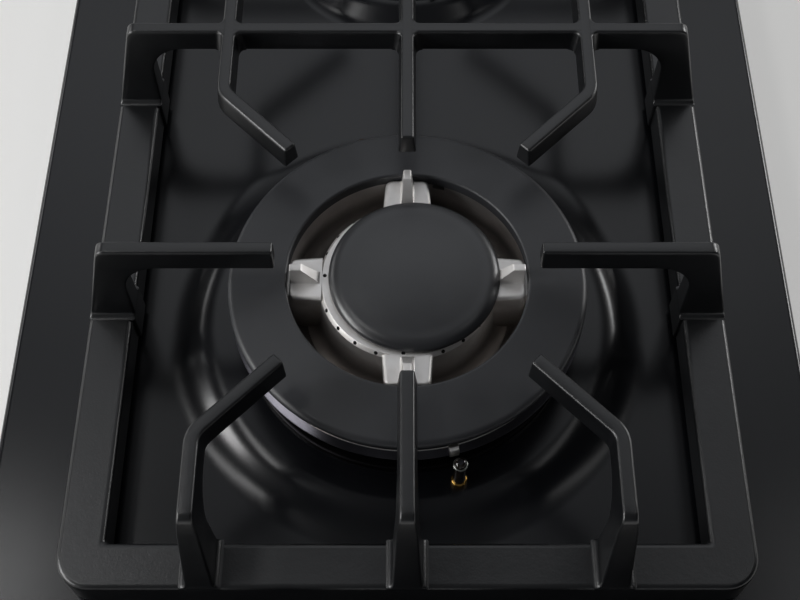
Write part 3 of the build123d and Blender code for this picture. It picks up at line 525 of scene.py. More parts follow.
def mesh_of(skin: Skin, name: str) -> bpy.types.Mesh:
    """Mesh in metres of a skin in millimetres, its faces outwards and its sharp edges marked.

    Args:
        skin: The surface.
        name: Name of the mesh.

    Returns:
        The mesh, without the faces that have shrunk to a line.
    """
    keep = skin.faces != np.roll(skin.faces, -1, axis=1)
    used = keep.sum(axis=1) >= 3
    corners, keep = skin.faces[used], keep[used]
    counts = keep.sum(axis=1)
    mesh = bpy.data.meshes.new(name)
    mesh.vertices.add(len(skin.points))
    mesh.vertices.foreach_set("co", (skin.points * MM).astype(np.float32).ravel())
    mesh.loops.add(int(counts.sum()))
    mesh.loops.foreach_set("vertex_index", corners[keep].astype(np.int32))
    mesh.polygons.add(len(counts))
    mesh.polygons.foreach_set("loop_start", np.concatenate([[0], np.cumsum(counts)[:-1]]).astype(np.int32))
    mesh.update(calc_edges=True)
    mesh.validate()
    form = bmesh.new()
    form.from_mesh(mesh)
    bmesh.ops.recalc_face_normals(form, faces=form.faces)
    form.to_mesh(mesh)
    form.free()
    mesh.shade_smooth()
    mesh.set_sharp_from_angle(angle=SHARP)
    return mesh


def make(skin: Skin, name: str, body: Body, finish: Finish, nodes: Sequence[str] = ()) -> None:
    """Turn a skin into a piece of the scene.

    Args:
        skin: The surface.
        name: Name of the piece.
        body: Body that it rides on.
        finish: Its finish.
        nodes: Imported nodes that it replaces.
    """
    mesh = mesh_of(skin, name)
    mesh.materials.append(finish.material())
    piece = bpy.data.objects.new(name, mesh)
    bpy.context.scene.collection.objects.link(piece)
    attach(piece, body.value)
    if nodes:
        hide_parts(*nodes)
    log.info("%s: %d points, %d faces on %s", name, len(mesh.vertices), len(mesh.polygons), body.value)


# ---- the plate


@dataclass
class Pressing:
    """A raised step round a burner hole: it runs down to the fold radius between two bends."""

    axis_y: float
    hole_r: float
    fold_r: float
    run: float
    top_bend: float
    foot_bend: float


@dataclass
class TopPlate:
    """Enamelled plate with its turned-down rim and two pressed steps."""

    width: float = 300.0
    depth: float = 510.0
    corner: float = 8.0
    edge: float = 2.5
    top: float = 51.0
    sheet: float = 1.2
    rim_low: float = 45.5
    step_height: float = 5.5
    margin: float = 9.5
    seam_y: float = 40.0
    side_points: int = 90
    end_points: int = 100
    rays: int = 6
    pressings: tuple[Pressing, ...] = (
        Pressing(-64.0, 57.0, 86.3, 10.5, 16.0, 24.0),
        Pressing(144.0, 41.0, 61.0, 10.5, 12.0, 14.0),
    )

    def half_outline(self, end: int) -> tuple[np.ndarray, np.ndarray]:
        """Flat part's outer edge from the seam round one end of the plate: side, corner, end, and back.

        Args:
            end: -1 for the front end, 1 for the back one.

        Returns:
            Points by 2, and the direction out of the plate at each.
        """
        half_w, far = self.width / 2 - self.edge, end * (self.depth / 2 - self.edge)
        radius = self.corner - self.edge
        turn = np.radians(np.linspace(0, 90, 9))
        side = np.linspace(self.seam_y, far - end * radius, self.side_points)[:-1]
        across = np.linspace(half_w - radius, radius - half_w, self.end_points)[1:-1]
        bend = np.stack([half_w - radius + radius * np.cos(turn), far - end * radius * (1 - np.sin(turn))], 1)
        right = np.vstack([np.stack([np.full_like(side, half_w), side], 1), bend])
        bend_out = np.stack([np.cos(turn), end * np.sin(turn)], 1)
        right_out = np.vstack([np.tile([1.0, 0.0], (len(side), 1)), bend_out])
        middle = np.stack([across, np.full_like(across, far)], 1)
        middle_out = np.tile([0.0, end], (len(across), 1))
        outline = np.vstack([right, middle, right[::-1] * MIRROR])
        return outline, np.vstack([right_out, middle_out, right_out[::-1] * MIRROR])

    def flat(self, pressing: Pressing, border: np.ndarray) -> Skin:
        """Sheet between a burner hole and a border: rings that follow the step, then rays to the border.

        Args:
            pressing: The step round the hole.
            border: Points by 2 round the hole.

        Returns:
            The open skin.
        """
        high = self.top + self.step_height
        corners = [
            (pressing.hole_r, high),
            (pressing.fold_r - pressing.run, high, pressing.top_bend),
            (pressing.fold_r, self.top, pressing.foot_bend),
            (pressing.fold_r + self.margin, self.top),
        ]
        step = np.vstack([[pressing.hole_r, high - self.sheet], rounded(corners, closed=False, steps=12)])
        offset = border - [0, pressing.axis_y]
        reach = np.linalg.norm(offset, axis=1)
        ray = offset / reach[:, None]
        share = np.linspace(0, 1, self.rays + 1)[1:, None]
        rings = np.repeat(step[:, :1], len(border), axis=1)
        radius = np.vstack([rings, step[-1, 0] * (1 - share) + reach * share])
        height = np.concatenate([step[:, 1], np.full(self.rays, self.top)])[:, None] + 0 * radius
        return lattice(np.stack([radius * ray[:, 0], pressing.axis_y + radius * ray[:, 1], height], axis=-1))

    def rim(self, outline: np.ndarray, outward: np.ndarray) -> Skin:
        """Rounded edge and turned-down rim: the outline carried out along its directions and down.

        Args:
            outline: The flat part's outer edge.
            outward: Direction out of the plate at each of its points.

        Returns:
            The open skin.
        """
        inside = self.edge - self.sheet
        section = rounded(
            [
                (0.0, self.top), (self.edge, self.top, self.edge - HAIR), (self.edge, self.rim_low),
                (inside, self.rim_low), (inside, self.top - self.sheet),
            ],
            closed=False,
            steps=8,
            guard=0.0,
        )
        plan = outline + outward * section[:, None, :1]
        height = np.broadcast_to(section[:, 1:, None], (*plan.shape[:2], 1))
        return lattice(np.concatenate([plan, height], axis=2))

    def build(self) -> None:
        """Make the plate: the sheet round each hole, which meet at the seam, and the rim."""
        half_w = self.width / 2 - self.edge
        seam_x = np.linspace(-half_w, half_w, self.end_points)[1:-1]
        seam = np.stack([seam_x, np.full_like(seam_x, self.seam_y)], axis=1)
        (front, front_out), (back, back_out) = self.half_outline(-1), self.half_outline(1)
        skins = [
            self.flat(pressing, np.vstack([border, seam]))
            for pressing, border in zip(self.pressings, (front, back))
        ]
        outline, outward = np.vstack([front, back[::-1][1:-1]]), np.vstack([front_out, back_out[::-1][1:-1]])
        plate = Skin.join([*skins, self.rim(outline, outward)]).welded()
        make(plate, "enamelled_plate", Body.HOB, PLATE_ENAMEL, ["top_plate"])


# ---- burners


def slotted(points: np.ndarray, inside: np.ndarray, rows: np.ndarray, depth: float) -> np.ndarray:
    """Draw chosen rows of a turned surface towards its axis inside the slots.

    Args:
        points: Rows by columns by 3.
        inside: Whether each column lies inside a slot.
        rows: Whether each row is drawn in.
        depth: How far.

    Returns:
        The new points.
    """
    radius = np.linalg.norm(points[..., :2], axis=-1, keepdims=True)
    sunk = points.copy()
    sunk[..., :2] *= (radius - depth) / radius
    chosen = rows[:, None] & inside[None, :]
    return np.where(chosen[..., None], sunk, points)


def slot_angles(count: int, half_width: float, spare: int = 3) -> tuple[np.ndarray, np.ndarray]:
    """Angles that put a column on each side of every slot's two walls.

    Args:
        count: Slots in the circle.
        half_width: Half a slot in degrees.
        spare: Columns on each land between two slots.

    Returns:
        The angles in degrees, and whether each lies inside a slot.
    """
    pitch, wall = 360 / count, 0.02
    land = np.linspace(half_width, pitch - half_width, spare + 2)
    one = np.concatenate([[wall - half_width, half_width - wall], land])
    within = np.concatenate([[True, True], np.zeros(len(land), bool)])
    starts = np.arange(count)[:, None] * pitch
    return (starts + one).ravel(), np.tile(within, count)


@dataclass
class WokBurner:
    """Front burner with its flame ring, crossover arms and two caps; heights run from the cap plane."""

    axis_y: float = -64.0
    cap_plane: float = 87.0
    gap: float = 0.3
    # ring cap, whose lip hangs into the gas channel
    bore_r: float = 43.5
    cap_r: float = 65.0
    cap_rise: float = 2.2
    cap_edge: float = 2.4
    cap_rim: float = 2.7
    lip_gap: float = 0.5
    lip_wall: float = 2.0
    lip_depth: float = 3.0
    # flame ring with its port wall, gas channel, skirt and well
    wall_r: float = 60.5
    wall: float = 2.5
    channel: float = -13.5
    seat: float = -16.7
    skirt_in: float = 50.5
    skirt_out: float = 52.6
    floor: float = -22.0
    sole: float = 2.5
    well_bend: float = 6.0
    lap: float = 0.6
    ports: int = 60
    port_width: float = 1.7
    port_height: float = 5.2
    port_skin: float = 0.1
    notch_angle: float = 74.5
    notch_width: float = 4.5
    notch_depth: float = 2.5
    # band round the flame ring, its worn edge and the spark lug
    band_r: float = 65.6
    band_top_r: float = 62.4
    band_top: float = -9.8
    band_foot: float = -12.7
    band_sink: float = 0.2
    band_step: float = 0.5
    bead_r: float = 0.2
    bead_out: float = 0.25
    bead_drop: float = 0.15
    lug_angle: float = -75.5
    lug_width: float = 3.6
    lug_low: float = -13.4
    lug_high: float = -8.6
    lug_sink: float = 0.9
    lug_inset: float = 0.3
    # hub and its small ports
    hub_r: float = 32.0
    hub_wall: float = 5.2
    hub_top: float = -0.7
    hub_flare: float = 1.2
    hub_sole: float = 2.4
    bevel: float = 1.1
    bevel_drop: float = 1.5
    hub_port_r: float = 0.75
    hub_port_first: float = 23.5
    hub_port_pitch: float = 15.3
    rim_port_angle: float = 87.3
    rim_port_r: float = 29.9
    # crossover arms and the fins that carry a pan
    arm_top: float = -0.6
    arm_width: float = 18.0
    arm_end: float = 42.6
    arm_corner: float = 2.3
    arm_shift: float = 0.4
    arm_taper: float = 0.9
    arm_roll: float = 0.9
    arm_crown: float = 0.25
    shoulder: float = 1.5
    shoulder_drop: float = 1.3
    tie_half: float = 6.0
    tie_lap: float = 1.2
    fin_start: float = 31.6
    fin_run: float = 6.4
    fin_height: float = 7.8
    fin_foot: float = 2.2
    fin_crest: float = 1.4
    fin_set: float = 0.2
    fin_roll: float = 0.4
    root_rise: float = 0.7
    root_sweep: float = 0.6
    # centre cap
    cap_gap: float = 0.1
    dome_r: float = 31.0
    dome_height: float = 6.0
    dome_shift: float = 2.5
    dome_set: float = 0.9
    dome_lift: float = 0.9
    crown: float = 2.0
    roll: float = 5.4
    spigot_in: float = 21.5
    spigot_out: float = 24.0
    spigot_depth: float = 4.5

    def ring_cap(self) -> Skin:
        """Flat ring: a rounded half section turned about the burner's axis.

        Returns:
            The closed skin.
        """
        lip_out = self.wall_r - self.wall - self.lip_gap
        lip_in = lip_out - self.lip_wall
        under = -self.cap_rim - self.gap
        slope = self.cap_rise / (self.cap_r - self.cap_edge - self.bore_r)
        corners = [
            (self.bore_r, under, 0.4), (lip_in, under), (lip_in, under - self.lip_depth),
            (lip_out, under - self.lip_depth), (lip_out, under), (self.cap_r, under, 0.5),
            (self.cap_r, -slope * self.cap_edge, self.cap_edge), (self.bore_r, self.cap_rise, 0.9),
        ]
        return spun(rounded(corners, steps=9), 288)

    def flame_ring(self) -> Skin:
        """Gas ring and well: the half section turned, with slots in the port wall and a notch for the probe.

        Returns:
            The closed skin.
        """
        rim = -self.cap_rim - 2 * self.gap
        port_foot, sole = rim - self.port_height, self.floor - self.sole
        inner, outer, lap_r = self.bore_r + self.wall, self.wall_r - self.wall, self.bore_r + self.lap
        corners = [
            (self.hub_r + 2, sole), (inner, sole, 1.5), (inner, self.seat), (self.skirt_in, self.seat),
            (self.skirt_in, self.floor), (self.skirt_out, self.floor), (self.skirt_out, self.seat),
            (self.wall_r, self.seat), (self.wall_r, port_foot), (self.wall_r, port_foot + 2 * HAIR),
            (self.wall_r, rim), (outer, rim), (outer, self.channel, 1.0), (inner, self.channel, 1.0),
            (inner, rim), (lap_r, rim, 0.5), (lap_r, self.floor, self.well_bend),
            (self.hub_r + self.hub_flare, self.floor),
        ]
        outline = rounded(corners, steps=8)
        angles, inside = slot_angles(self.ports, math.degrees(self.port_width / 2 / self.wall_r))
        notch = math.degrees(self.notch_width / 2 / self.bore_r)
        sides = self.notch_angle + np.array([-notch - 3 * HAIR, -notch, notch, notch + 3 * HAIR])
        angles, inside = np.concatenate([angles, sides]), np.concatenate([inside, np.zeros(4, bool)])
        order = np.argsort(angles)
        angles, inside = angles[order], inside[order]
        on_wall = (np.abs(outline[:, 0] - self.wall_r) < HAIR) & (outline[:, 1] > port_foot + HAIR)
        points = slotted(turned(outline, angles), inside, on_wall, self.wall - self.port_skin)
        low = (np.abs(angles - self.notch_angle) < notch + HAIR) & (outline[:, :1] < inner + HAIR)
        points[..., 2] = np.where(low, np.minimum(points[..., 2], rim - self.notch_depth), points[..., 2])
        return lattice(points, ring=True)

    def band(self) -> Skin:
        """Sloping band round the flame ring: its section turned about the axis.

        Returns:
            The closed skin.
        """
        inner, outer = self.wall_r - self.band_sink, self.wall_r + self.band_step
        corners = [
            (inner, self.seat), (outer, self.seat), (outer, self.band_foot, 0.3),
            (self.band_r, self.band_foot, 0.35), (self.band_top_r, self.band_top, 0.4),
            (inner, self.band_top),
        ]
        return spun(rounded(corners, steps=6), 256)

    def band_edge(self) -> Skin:
        """Painted highlight along the band's top edge: a fine bright bead turned about the axis.

        Returns:
            The closed skin.
        """
        turn = np.radians(np.arange(8) * 45.0)
        bead = np.stack([np.cos(turn), np.sin(turn)], axis=1) * self.bead_r
        return spun(bead + [self.band_top_r + self.bead_out, self.band_top - self.bead_drop], 256)

    def lug(self) -> Skin:
        """Spark lug on the band: a round-cornered block whose top leans in.

        Returns:
            The closed skin at the lug's angle.
        """
        near, far = self.band_top_r - self.lug_sink, self.band_r - self.lug_inset
        half, high = self.lug_width / 2, self.lug_high
        levels = {self.lug_low: 0.0, high - 1.6: 0.2, high - 0.4: 1.1, high: 1.5}
        outlines = [
            rounded([(near, -half, 0.5), (tip, -half, 0.5), (tip, half, 0.5), (near, half, 0.5)], guard=0.05)
            for tip in (far - lean for lean in levels.values())
        ]
        return stacked(outlines, list(levels)).moved(turn=self.lug_angle)

    def hub(self) -> Skin:
        """Hub wall with a bevelled outer edge and a flared foot, turned about the axis.

        Returns:
            The closed skin.
        """
        inner, sole = self.hub_r - self.hub_wall, self.floor - self.hub_sole
        corners = [
            (self.hub_r + 5, sole), (self.hub_r + 7, self.floor),
            (self.hub_r + self.hub_flare, self.floor, 5.0), (self.hub_r, self.hub_top - self.bevel_drop, 0.3),
            (self.hub_r - self.bevel, self.hub_top, 0.2), (inner, self.hub_top, 0.4), (inner, sole),
        ]
        return spun(rounded(corners, steps=6, guard=0.1), 300)

    def port_shade_discs(self) -> Skin:
        """Painted shade of the small ports: a black, shallow twelve-sided dish on the bevel or the rim at
        each.

        Returns:
            The dishes of the four quarters.
        """
        turn = np.radians(np.arange(12) * 30.0)
        radius = self.hub_port_r * np.array([1.0, 0.94, 0.5, 0.0])[:, None]
        proud = np.array([-0.05, 0.05, 0.03, 0.02])[:, None]
        length = math.hypot(self.bevel, self.bevel_drop)
        up, out = self.bevel_drop / length, self.bevel / length
        along, across = radius * np.sin(turn), radius * np.cos(turn)
        reach = self.hub_r - self.bevel / 2 - along * out + proud * up
        height = self.hub_top - self.bevel_drop / 2 + along * up + proud * out
        dish = lattice(np.stack([reach, across, height], axis=-1))
        rim_points = [self.rim_port_r + along, across, self.hub_top + proud + 0 * turn]
        rim_dish = lattice(np.stack(rim_points, axis=-1))
        first = self.hub_port_first + self.hub_port_pitch * np.arange(4) + 90 * np.arange(4)[:, None]
        on_rim = [rim_dish.moved(turn=self.rim_port_angle + 90 * quarter) for quarter in range(4)]
        return Skin.join([*[dish.moved(turn=angle) for angle in first.ravel()], *on_rim])

    def arm(self) -> Skin:
        """Crossover arm along X: a block with broad rolled shoulders, and its tie to the flame ring.

        The shoulder follows a quarter circle: it draws in by one less the cosine as it rises by the sine.

        Returns:
            The two closed skins.
        """
        start, half = self.hub_r - self.bevel, self.arm_width / 2
        turn = np.radians(np.linspace(0, 90, 11))
        shoulder = self.arm_top - self.shoulder_drop
        rolls = np.concatenate([[0, 0], 1 - np.cos(turn), [1.0]])
        crowns = np.concatenate([np.zeros(len(turn) + 2), [self.arm_crown]])
        curve = self.arm_top - self.shoulder_drop * (1 - np.sin(turn))
        rise = [self.floor, shoulder - self.gap, *curve, self.arm_top]
        outlines = []
        for roll, crown in zip(rolls, crowns):
            side, far = half - self.shoulder * roll - crown, self.arm_end - self.arm_roll * roll - crown
            outlines.append(tongue(start, far, side, side - self.arm_taper, self.arm_corner - roll, 8, 0.1))
        tie = tongue(start, self.bore_r + self.tie_lap, self.tie_half, self.tie_half, 0)
        tie_high = -self.cap_rim - 2 * self.gap - 2 * HAIR
        ties = stacked([tie, tie, tie * [1, 0.93]], [self.floor, tie_high - 0.5, tie_high])
        return Skin.join([stacked(outlines, rise), ties])

    def fin(self) -> Skin:
        """Pan-support fin: sections that taper upwards, swept out wide at the root and rolled at the top.

        Returns:
            The closed skin, on the arm along X.
        """
        root = np.linspace(0, 1, 9) ** 1.3 * self.root_rise
        turn = np.radians(np.linspace(10, 90, 6))
        shoulder = self.fin_height - self.fin_roll
        flank = np.linspace(self.root_rise + 0.4, shoulder - 0.2, 6)
        rise = np.concatenate([root, flank, shoulder + self.fin_roll * np.sin(turn)])
        inset = np.concatenate([0 * root, 0 * flank, self.fin_roll * (1 - np.cos(turn))])
        near_root = np.clip(1 - rise / self.root_rise, 0, 1)
        sweep = self.root_sweep * (1 - np.sqrt(1 - near_root**2))
        share = np.clip(rise / self.fin_height, 0, 1)
        half = self.fin_foot + (self.fin_crest - self.fin_foot) * share - inset + sweep
        near = self.fin_start + self.fin_run * share + inset
        far = self.arm_end - self.fin_set * (1 + share) - inset
        outlines = [tongue(a, b, w, w, 0.5, 5, 0.05) for a, b, w in zip(near, far, half)]
        return stacked(outlines, self.arm_top - 4 * HAIR + rise)

    def centre_cap(self) -> Skin:
        """Domed disc: a parabola across the top, an elliptic edge and a flat underside, turned about Z.

        Returns:
            The closed skin.
        """
        low = self.arm_top + self.cap_gap
        high = low + self.dome_height
        across = np.linspace(0, 1, 14)[:, None]
        shoulder_r, shoulder_z, edge_z = self.dome_r - self.roll, high - self.crown, low + self.dome_lift
        dome = np.hstack([shoulder_r * across, high - self.crown * across**2])
        turn = np.radians(np.linspace(78, 0, 12))[:, None]
        side_r = shoulder_r + self.roll * np.cos(turn)
        side = np.hstack([side_r, edge_z + (shoulder_z - edge_z) * np.sin(turn)])
        spigot = low - self.spigot_depth
        foot = [
            (self.dome_r - 0.25, low + 0.3), (self.dome_r - 0.9, low), (self.spigot_out, low),
            (self.spigot_out, spigot), (self.spigot_in, spigot), (self.spigot_in, low), (0, low),
        ]
        return spun(np.vstack([dome, side, foot]), 240, ring=False)

    def build(self) -> None:
        """Make the front burner's pieces."""
        place = {"y": self.axis_y, "z": self.cap_plane}
        arms = [Skin.join([self.arm(), self.fin()]).moved(turn=90 * quarter) for quarter in range(4)]
        crown = Skin.join([self.hub(), *[arm.moved(y=self.arm_shift) for arm in arms]])
        pieces = (
            (self.flame_ring(), "wok_flame_ring", WELL_CAST, ["wok_spreader"]),
            (self.band(), "wok_ring_band", BAND_CAST, []),
            # The bright bead on the band's top edge is a painted highlight line.
            (self.band_edge(), "wok_band_highlight_bead", DIE_CAST, []),
            (self.lug(), "wok_spark_lug", DIE_CAST, []),
            (crown, "wok_crossover_crown", CROWN_CAST, []),
            # The black port dishes are painted shade that stands for the holes.
            (self.port_shade_discs(), "wok_hub_port_painted_shade", PAINTED_PORT_SHADE, []),
        )
        for skin, name, finish, nodes in pieces:
            make(skin.moved(**place), name, Body.WOK_HEAD, finish, nodes)
        ring = self.ring_cap().moved(**place)
        make(ring, "wok_flame_ring_cap", Body.WOK_RING, CAP_ENAMEL, ["wok_ring_cap"])
        dome = self.centre_cap().moved(self.dome_shift, self.axis_y + self.dome_set, self.cap_plane)
        make(dome, "wok_domed_cap", Body.WOK_CENTRE, DOME_ENAMEL, ["wok_centre_cap"])


@dataclass
class RearBurner:
    """Rear burner: crowned spreader with slots and a flat cap."""

    axis_y: float = 144.0
    cap_top: float = 75.0
    cap_r: float = 36.0
    cap_thickness: float = 5.0
    crown_r: float = 12.0
    crown_rise: float = 0.1
    lip_in: float = 29.4
    lip_out: float = 31.4
    lip_depth: float = 2.5
    gap: float = 0.3
    head_r: float = 37.0
    head_height: float = 11.0
    bore_r: float = 13.0
    wall: float = 4.0
    sole: float = 3.0
    skirt_in: float = 34.1
    skirt_out: float = 36.6
    skirt_depth: float = 6.0
    slots: int = 32
    slot_width: float = 1.7
    slot_height: float = 4.0
    slot_depth: float = 2.9

    def cap(self) -> Skin:
        """Flat cap with a rolled edge, turned about the burner's axis.

        Returns:
            The closed skin.
        """
        low = self.cap_top - self.cap_thickness
        lip = low - self.lip_depth
        corners = [
            (0, low), (self.lip_in, low), (self.lip_in, lip), (self.lip_out, lip), (self.lip_out, low),
            (self.cap_r, low, 0.8), (self.cap_r, self.cap_top - 1, 2.0),
            (self.crown_r, self.cap_top - self.crown_rise, 20), (0, self.cap_top),
        ]
        return spun(rounded(corners, closed=False, steps=8), 192, ring=False)

    def head(self) -> Skin:
        """Spreader: a turned cup wall drawn in at each slot.

        Returns:
            The closed skin.
        """
        high = self.cap_top - self.cap_thickness - self.gap
        low = high - self.head_height + self.gap
        inside_r, foot, skirt = self.head_r - self.wall, low + self.sole, low - self.skirt_depth
        slot_foot = high - self.slot_height
        corners = [
            (self.bore_r, low), (self.skirt_in, low), (self.skirt_in, skirt), (self.skirt_out, skirt),
            (self.skirt_out, low), (self.head_r + 4, low, 0.8), (self.head_r, foot, 1.0),
            (self.head_r - 0.6, slot_foot), (self.head_r - 0.62, slot_foot + 2 * HAIR),
            (self.head_r - 1, high), (inside_r, high), (inside_r, foot, 1.0), (self.bore_r, foot),
        ]
        outline = rounded(corners)
        angles, inside = slot_angles(self.slots, math.degrees(self.slot_width / 2 / self.head_r), 5)
        on_wall = (outline[:, 0] > self.head_r - 1.1) & (outline[:, 1] > slot_foot + HAIR)
        return lattice(slotted(turned(outline, angles), inside, on_wall, self.slot_depth), ring=True)

    def build(self) -> None:
        """Make the rear burner's pieces."""
        head, cap = self.head().moved(y=self.axis_y), self.cap().moved(y=self.axis_y)
        make(head, "rear_flame_spreader", Body.REAR_HEAD, DIE_CAST, ["rear_spreader"])
        make(cap, "rear_flat_cap", Body.REAR_LID, CAP_ENAMEL, ["rear_cap"])


# ---- ignition


@dataclass
class SparkElectrode:
    """Spark electrode: a dark glazed insulator in a brass collar, with a bright ferrule below its tip."""

    name: str
    x: float
    y: float
    top: float
    low: float = 40.0
    plate_top: float = 56.5
    body_r: float = 2.2
    tip_r: float = 0.5
    waist: float = 0.15
    waist_rise: float = 9.0
    foot_rise: float = 6.0
    ferrule_r: float = 2.6
    ferrule_drop: float = 2.0
    ferrule_height: float = 0.9
    collar_r: float = 2.9
    collar_height: float = 3.0
    collar_sink: float = 0.4

    def shaft(self) -> Skin:
        """Insulator: a waisted rod with a rounded tip, turned about its axis.

        Returns:
            The closed skin.
        """
        turn = np.radians(np.linspace(0, 90, 7))
        dome_r = self.body_r - self.tip_r
        tip = np.stack([self.tip_r + dome_r * np.cos(turn), self.top - dome_r * (1 - np.sin(turn))], axis=1)
        shoulder = self.top - self.ferrule_drop
        rod = [
            (0.0, self.low), (self.body_r, self.low), (self.body_r, self.plate_top + self.foot_rise),
            (self.body_r - self.waist, self.plate_top + self.waist_rise),
            (self.body_r, shoulder - 1.0), (self.body_r, shoulder),
        ]
        return spun(np.vstack([rod, tip, [0.0, self.top]]), 48, ring=False)

    def ferrule(self) -> Skin:
        """Thin steel ring with a rolled edge, turned about the insulator's axis.

        Returns:
            The closed skin.
        """
        high, inner = self.top - self.ferrule_drop, self.body_r - 0.2
        low = high - self.ferrule_height
        corners = [(inner, low), (self.ferrule_r, low, 0.3), (self.ferrule_r, high, 0.3), (inner, high)]
        return spun(rounded(corners), 48)

    def collar(self) -> Skin:
        """Brass collar on the plate: a low ring with a rounded shoulder, turned about the insulator's axis.

        Returns:
            The closed skin.
        """
        low, high = self.plate_top - self.collar_sink, self.plate_top + self.collar_height
        inner = self.body_r - 0.1
        corners = [(inner, low), (self.collar_r, low), (self.collar_r, high, 0.8), (inner, high)]
        return spun(rounded(corners), 48)

    def build(self) -> None:
        """Make the electrode's pieces."""
        pieces = (
            (self.shaft(), "insulator", GLAZED_CERAMIC, Slot.INSULATOR, [f"{self.name}_electrode_ceramic"]),
            (self.ferrule(), "ferrule", SCREW_STEEL, Slot.PIN, []),
            (self.collar(), "collar", TURNED_BRASS, Slot.BRASS, []),
        )
        for skin, part, finish, slot, nodes in pieces:
            make(skin.moved(self.x, self.y), f"{self.name}_spark_{part}", Body.HOB, finish, nodes)


# ---- controls


@dataclass
class Knob:
    """Control knob with a fluted skirt, a dished top and a painted pointer, and its marks on the plate."""

    name: str
    body: Body
    x: float
    y: float = -213.0
    low: float = 55.0
    height: float = 22.0
    low_r: float = 20.0
    top_r: float = 17.5
    wall: float = 2.5
    edge: float = 1.6
    boss_r: float = 6.5
    boss_recess: float = 2.0
    spindle_r: float = 3.1
    flutes: int = 24
    flute_columns: int = 12
    flute_depth: float = 0.55
    flute_low: float = 0.24
    flute_high: float = 0.97
    flute_fade: float = 0.08
    dish: float = 0.35
    dish_edge: float = 3.5
    pointer_width: float = 1.8
    pointer_near: float = 5.0
    pointer_far: float = 15.6
    plate_top: float = 51.0
    mark_r: float = 25.5
    mark_start: float = 40.0
    mark_thin: float = 0.25
    mark_swell: float = 1.1
    print_sink: float = 0.2
    print_height: float = 0.04
    turn_range: float = 210.0

    def shell(self) -> Skin:
        """Knob turned about its axis, its radius drawn in at each flute by a squared cosine of the angle.

        Returns:
            The closed skin.
        """
        high = self.low + self.height
        under, dish = high - self.wall - 1, high - self.dish
        corners = [
            (self.spindle_r, under - 1), (self.spindle_r, self.low + self.boss_recess),
            (self.boss_r, self.low + self.boss_recess, 0.4), (self.boss_r, under, 1.0),
            (self.top_r - self.wall, under, 1.0), (self.low_r - self.wall, self.low),
            (self.low_r, self.low, 0.5),
            (self.low_r - 0.3, self.low + 3.0, 1.0), (self.low_r - 0.9, self.low + 5.0, 1.0),
            (self.top_r, high, self.edge), (self.top_r - self.dish_edge, dish, 3.0), (0, dish),
        ]
        outline = np.vstack([[0.0, under - 1], rounded(corners, closed=False, steps=8)])
        columns = self.flutes * self.flute_columns
        angles = np.arange(columns) * 360 / columns
        points = turned(outline, angles)
        wave = np.cos(np.radians(angles * self.flutes / 2)) ** 2
        rise = (outline[:, 1] - self.low) / self.height
        starts = np.clip((rise - self.flute_low) / self.flute_fade, 0, 1)
        skirt = starts * np.clip((self.flute_high - rise) / self.flute_fade, 0, 1)
        outside = outline[:, 0] > self.top_r - 1.0
        depth = (self.flute_depth * skirt * outside)[:, None] * wave
        points[..., :2] *= (1 - depth / np.maximum(outline[:, :1], HAIR))[..., None]
        return lattice(points)

    def pointer(self) -> Skin:
        """Painted pointer: a low round-ended bar on the dished top.

        Returns:
            The closed skin.
        """
        high, half = self.low + self.height - self.dish, self.pointer_width / 2
        near, far = self.pointer_near, self.pointer_far
        corners = [(-half, near, 0.85), (half, near, 0.85), (half, far, 0.5), (-half, far, 0.5)]
        outline = rounded(corners, guard=0.02)
        middle = outline.mean(axis=0)
        crown = (outline - middle) * [0.86, 0.98] + middle
        return stacked([outline, outline, crown], [high - 0.3, high + 0.08, high + 0.16])

    def marks(self) -> Skin:
        """Printed marks: a dot at off, and an arc that swells along the turn from low to high flame.

        Returns:
            The two closed skins.
        """
        share = np.linspace(0, 1, 60)
        turn = np.radians(90 + self.mark_start + share * (self.turn_range - self.mark_start))[:, None]
        radius = self.mark_r + (self.mark_thin + self.mark_swell * share)[:, None] * [-1.0, -1.0, 1.0, 1.0]
        low, high = self.plate_top - self.print_sink, self.plate_top + self.print_height
        height = np.array([low, high, high, low]) + 0 * radius
        arc = np.stack([radius * np.cos(turn), radius * np.sin(turn), height], axis=-1)
        ends = [np.broadcast_to(arc[place].mean(axis=0), arc[place].shape)[None] for place in (0, -1)]
        swell = lattice(np.concatenate([ends[0], arc, ends[1]]))
        round_trip = np.radians(np.arange(24) * 15.0)
        circle = np.stack([np.cos(round_trip), np.sin(round_trip)], axis=1) * self.mark_swell
        circle += [0, self.mark_r]
        return Skin.join([swell, stacked([circle, circle], [low, high])])

    def build(self) -> None:
        """Make the knob, its pointer and its marks."""
        pieces = (
            (self.shell(), "fluted_knob", self.body, KNOB_PLASTIC, Slot.PLASTIC, [f"{self.name}_knob"]),
            (self.pointer(), "knob_pointer", self.body, POINTER_PAINT, Slot.PLASTIC, []),
            (self.marks(), "knob_marks", Body.HOB, PRINT_ENAMEL, Slot.ENAMEL, []),
        )
        for skin, part, body, finish, slot, nodes in pieces:
            make(skin.moved(self.x, self.y), f"{self.name}_{part}", body, finish, nodes)


# ---- grate


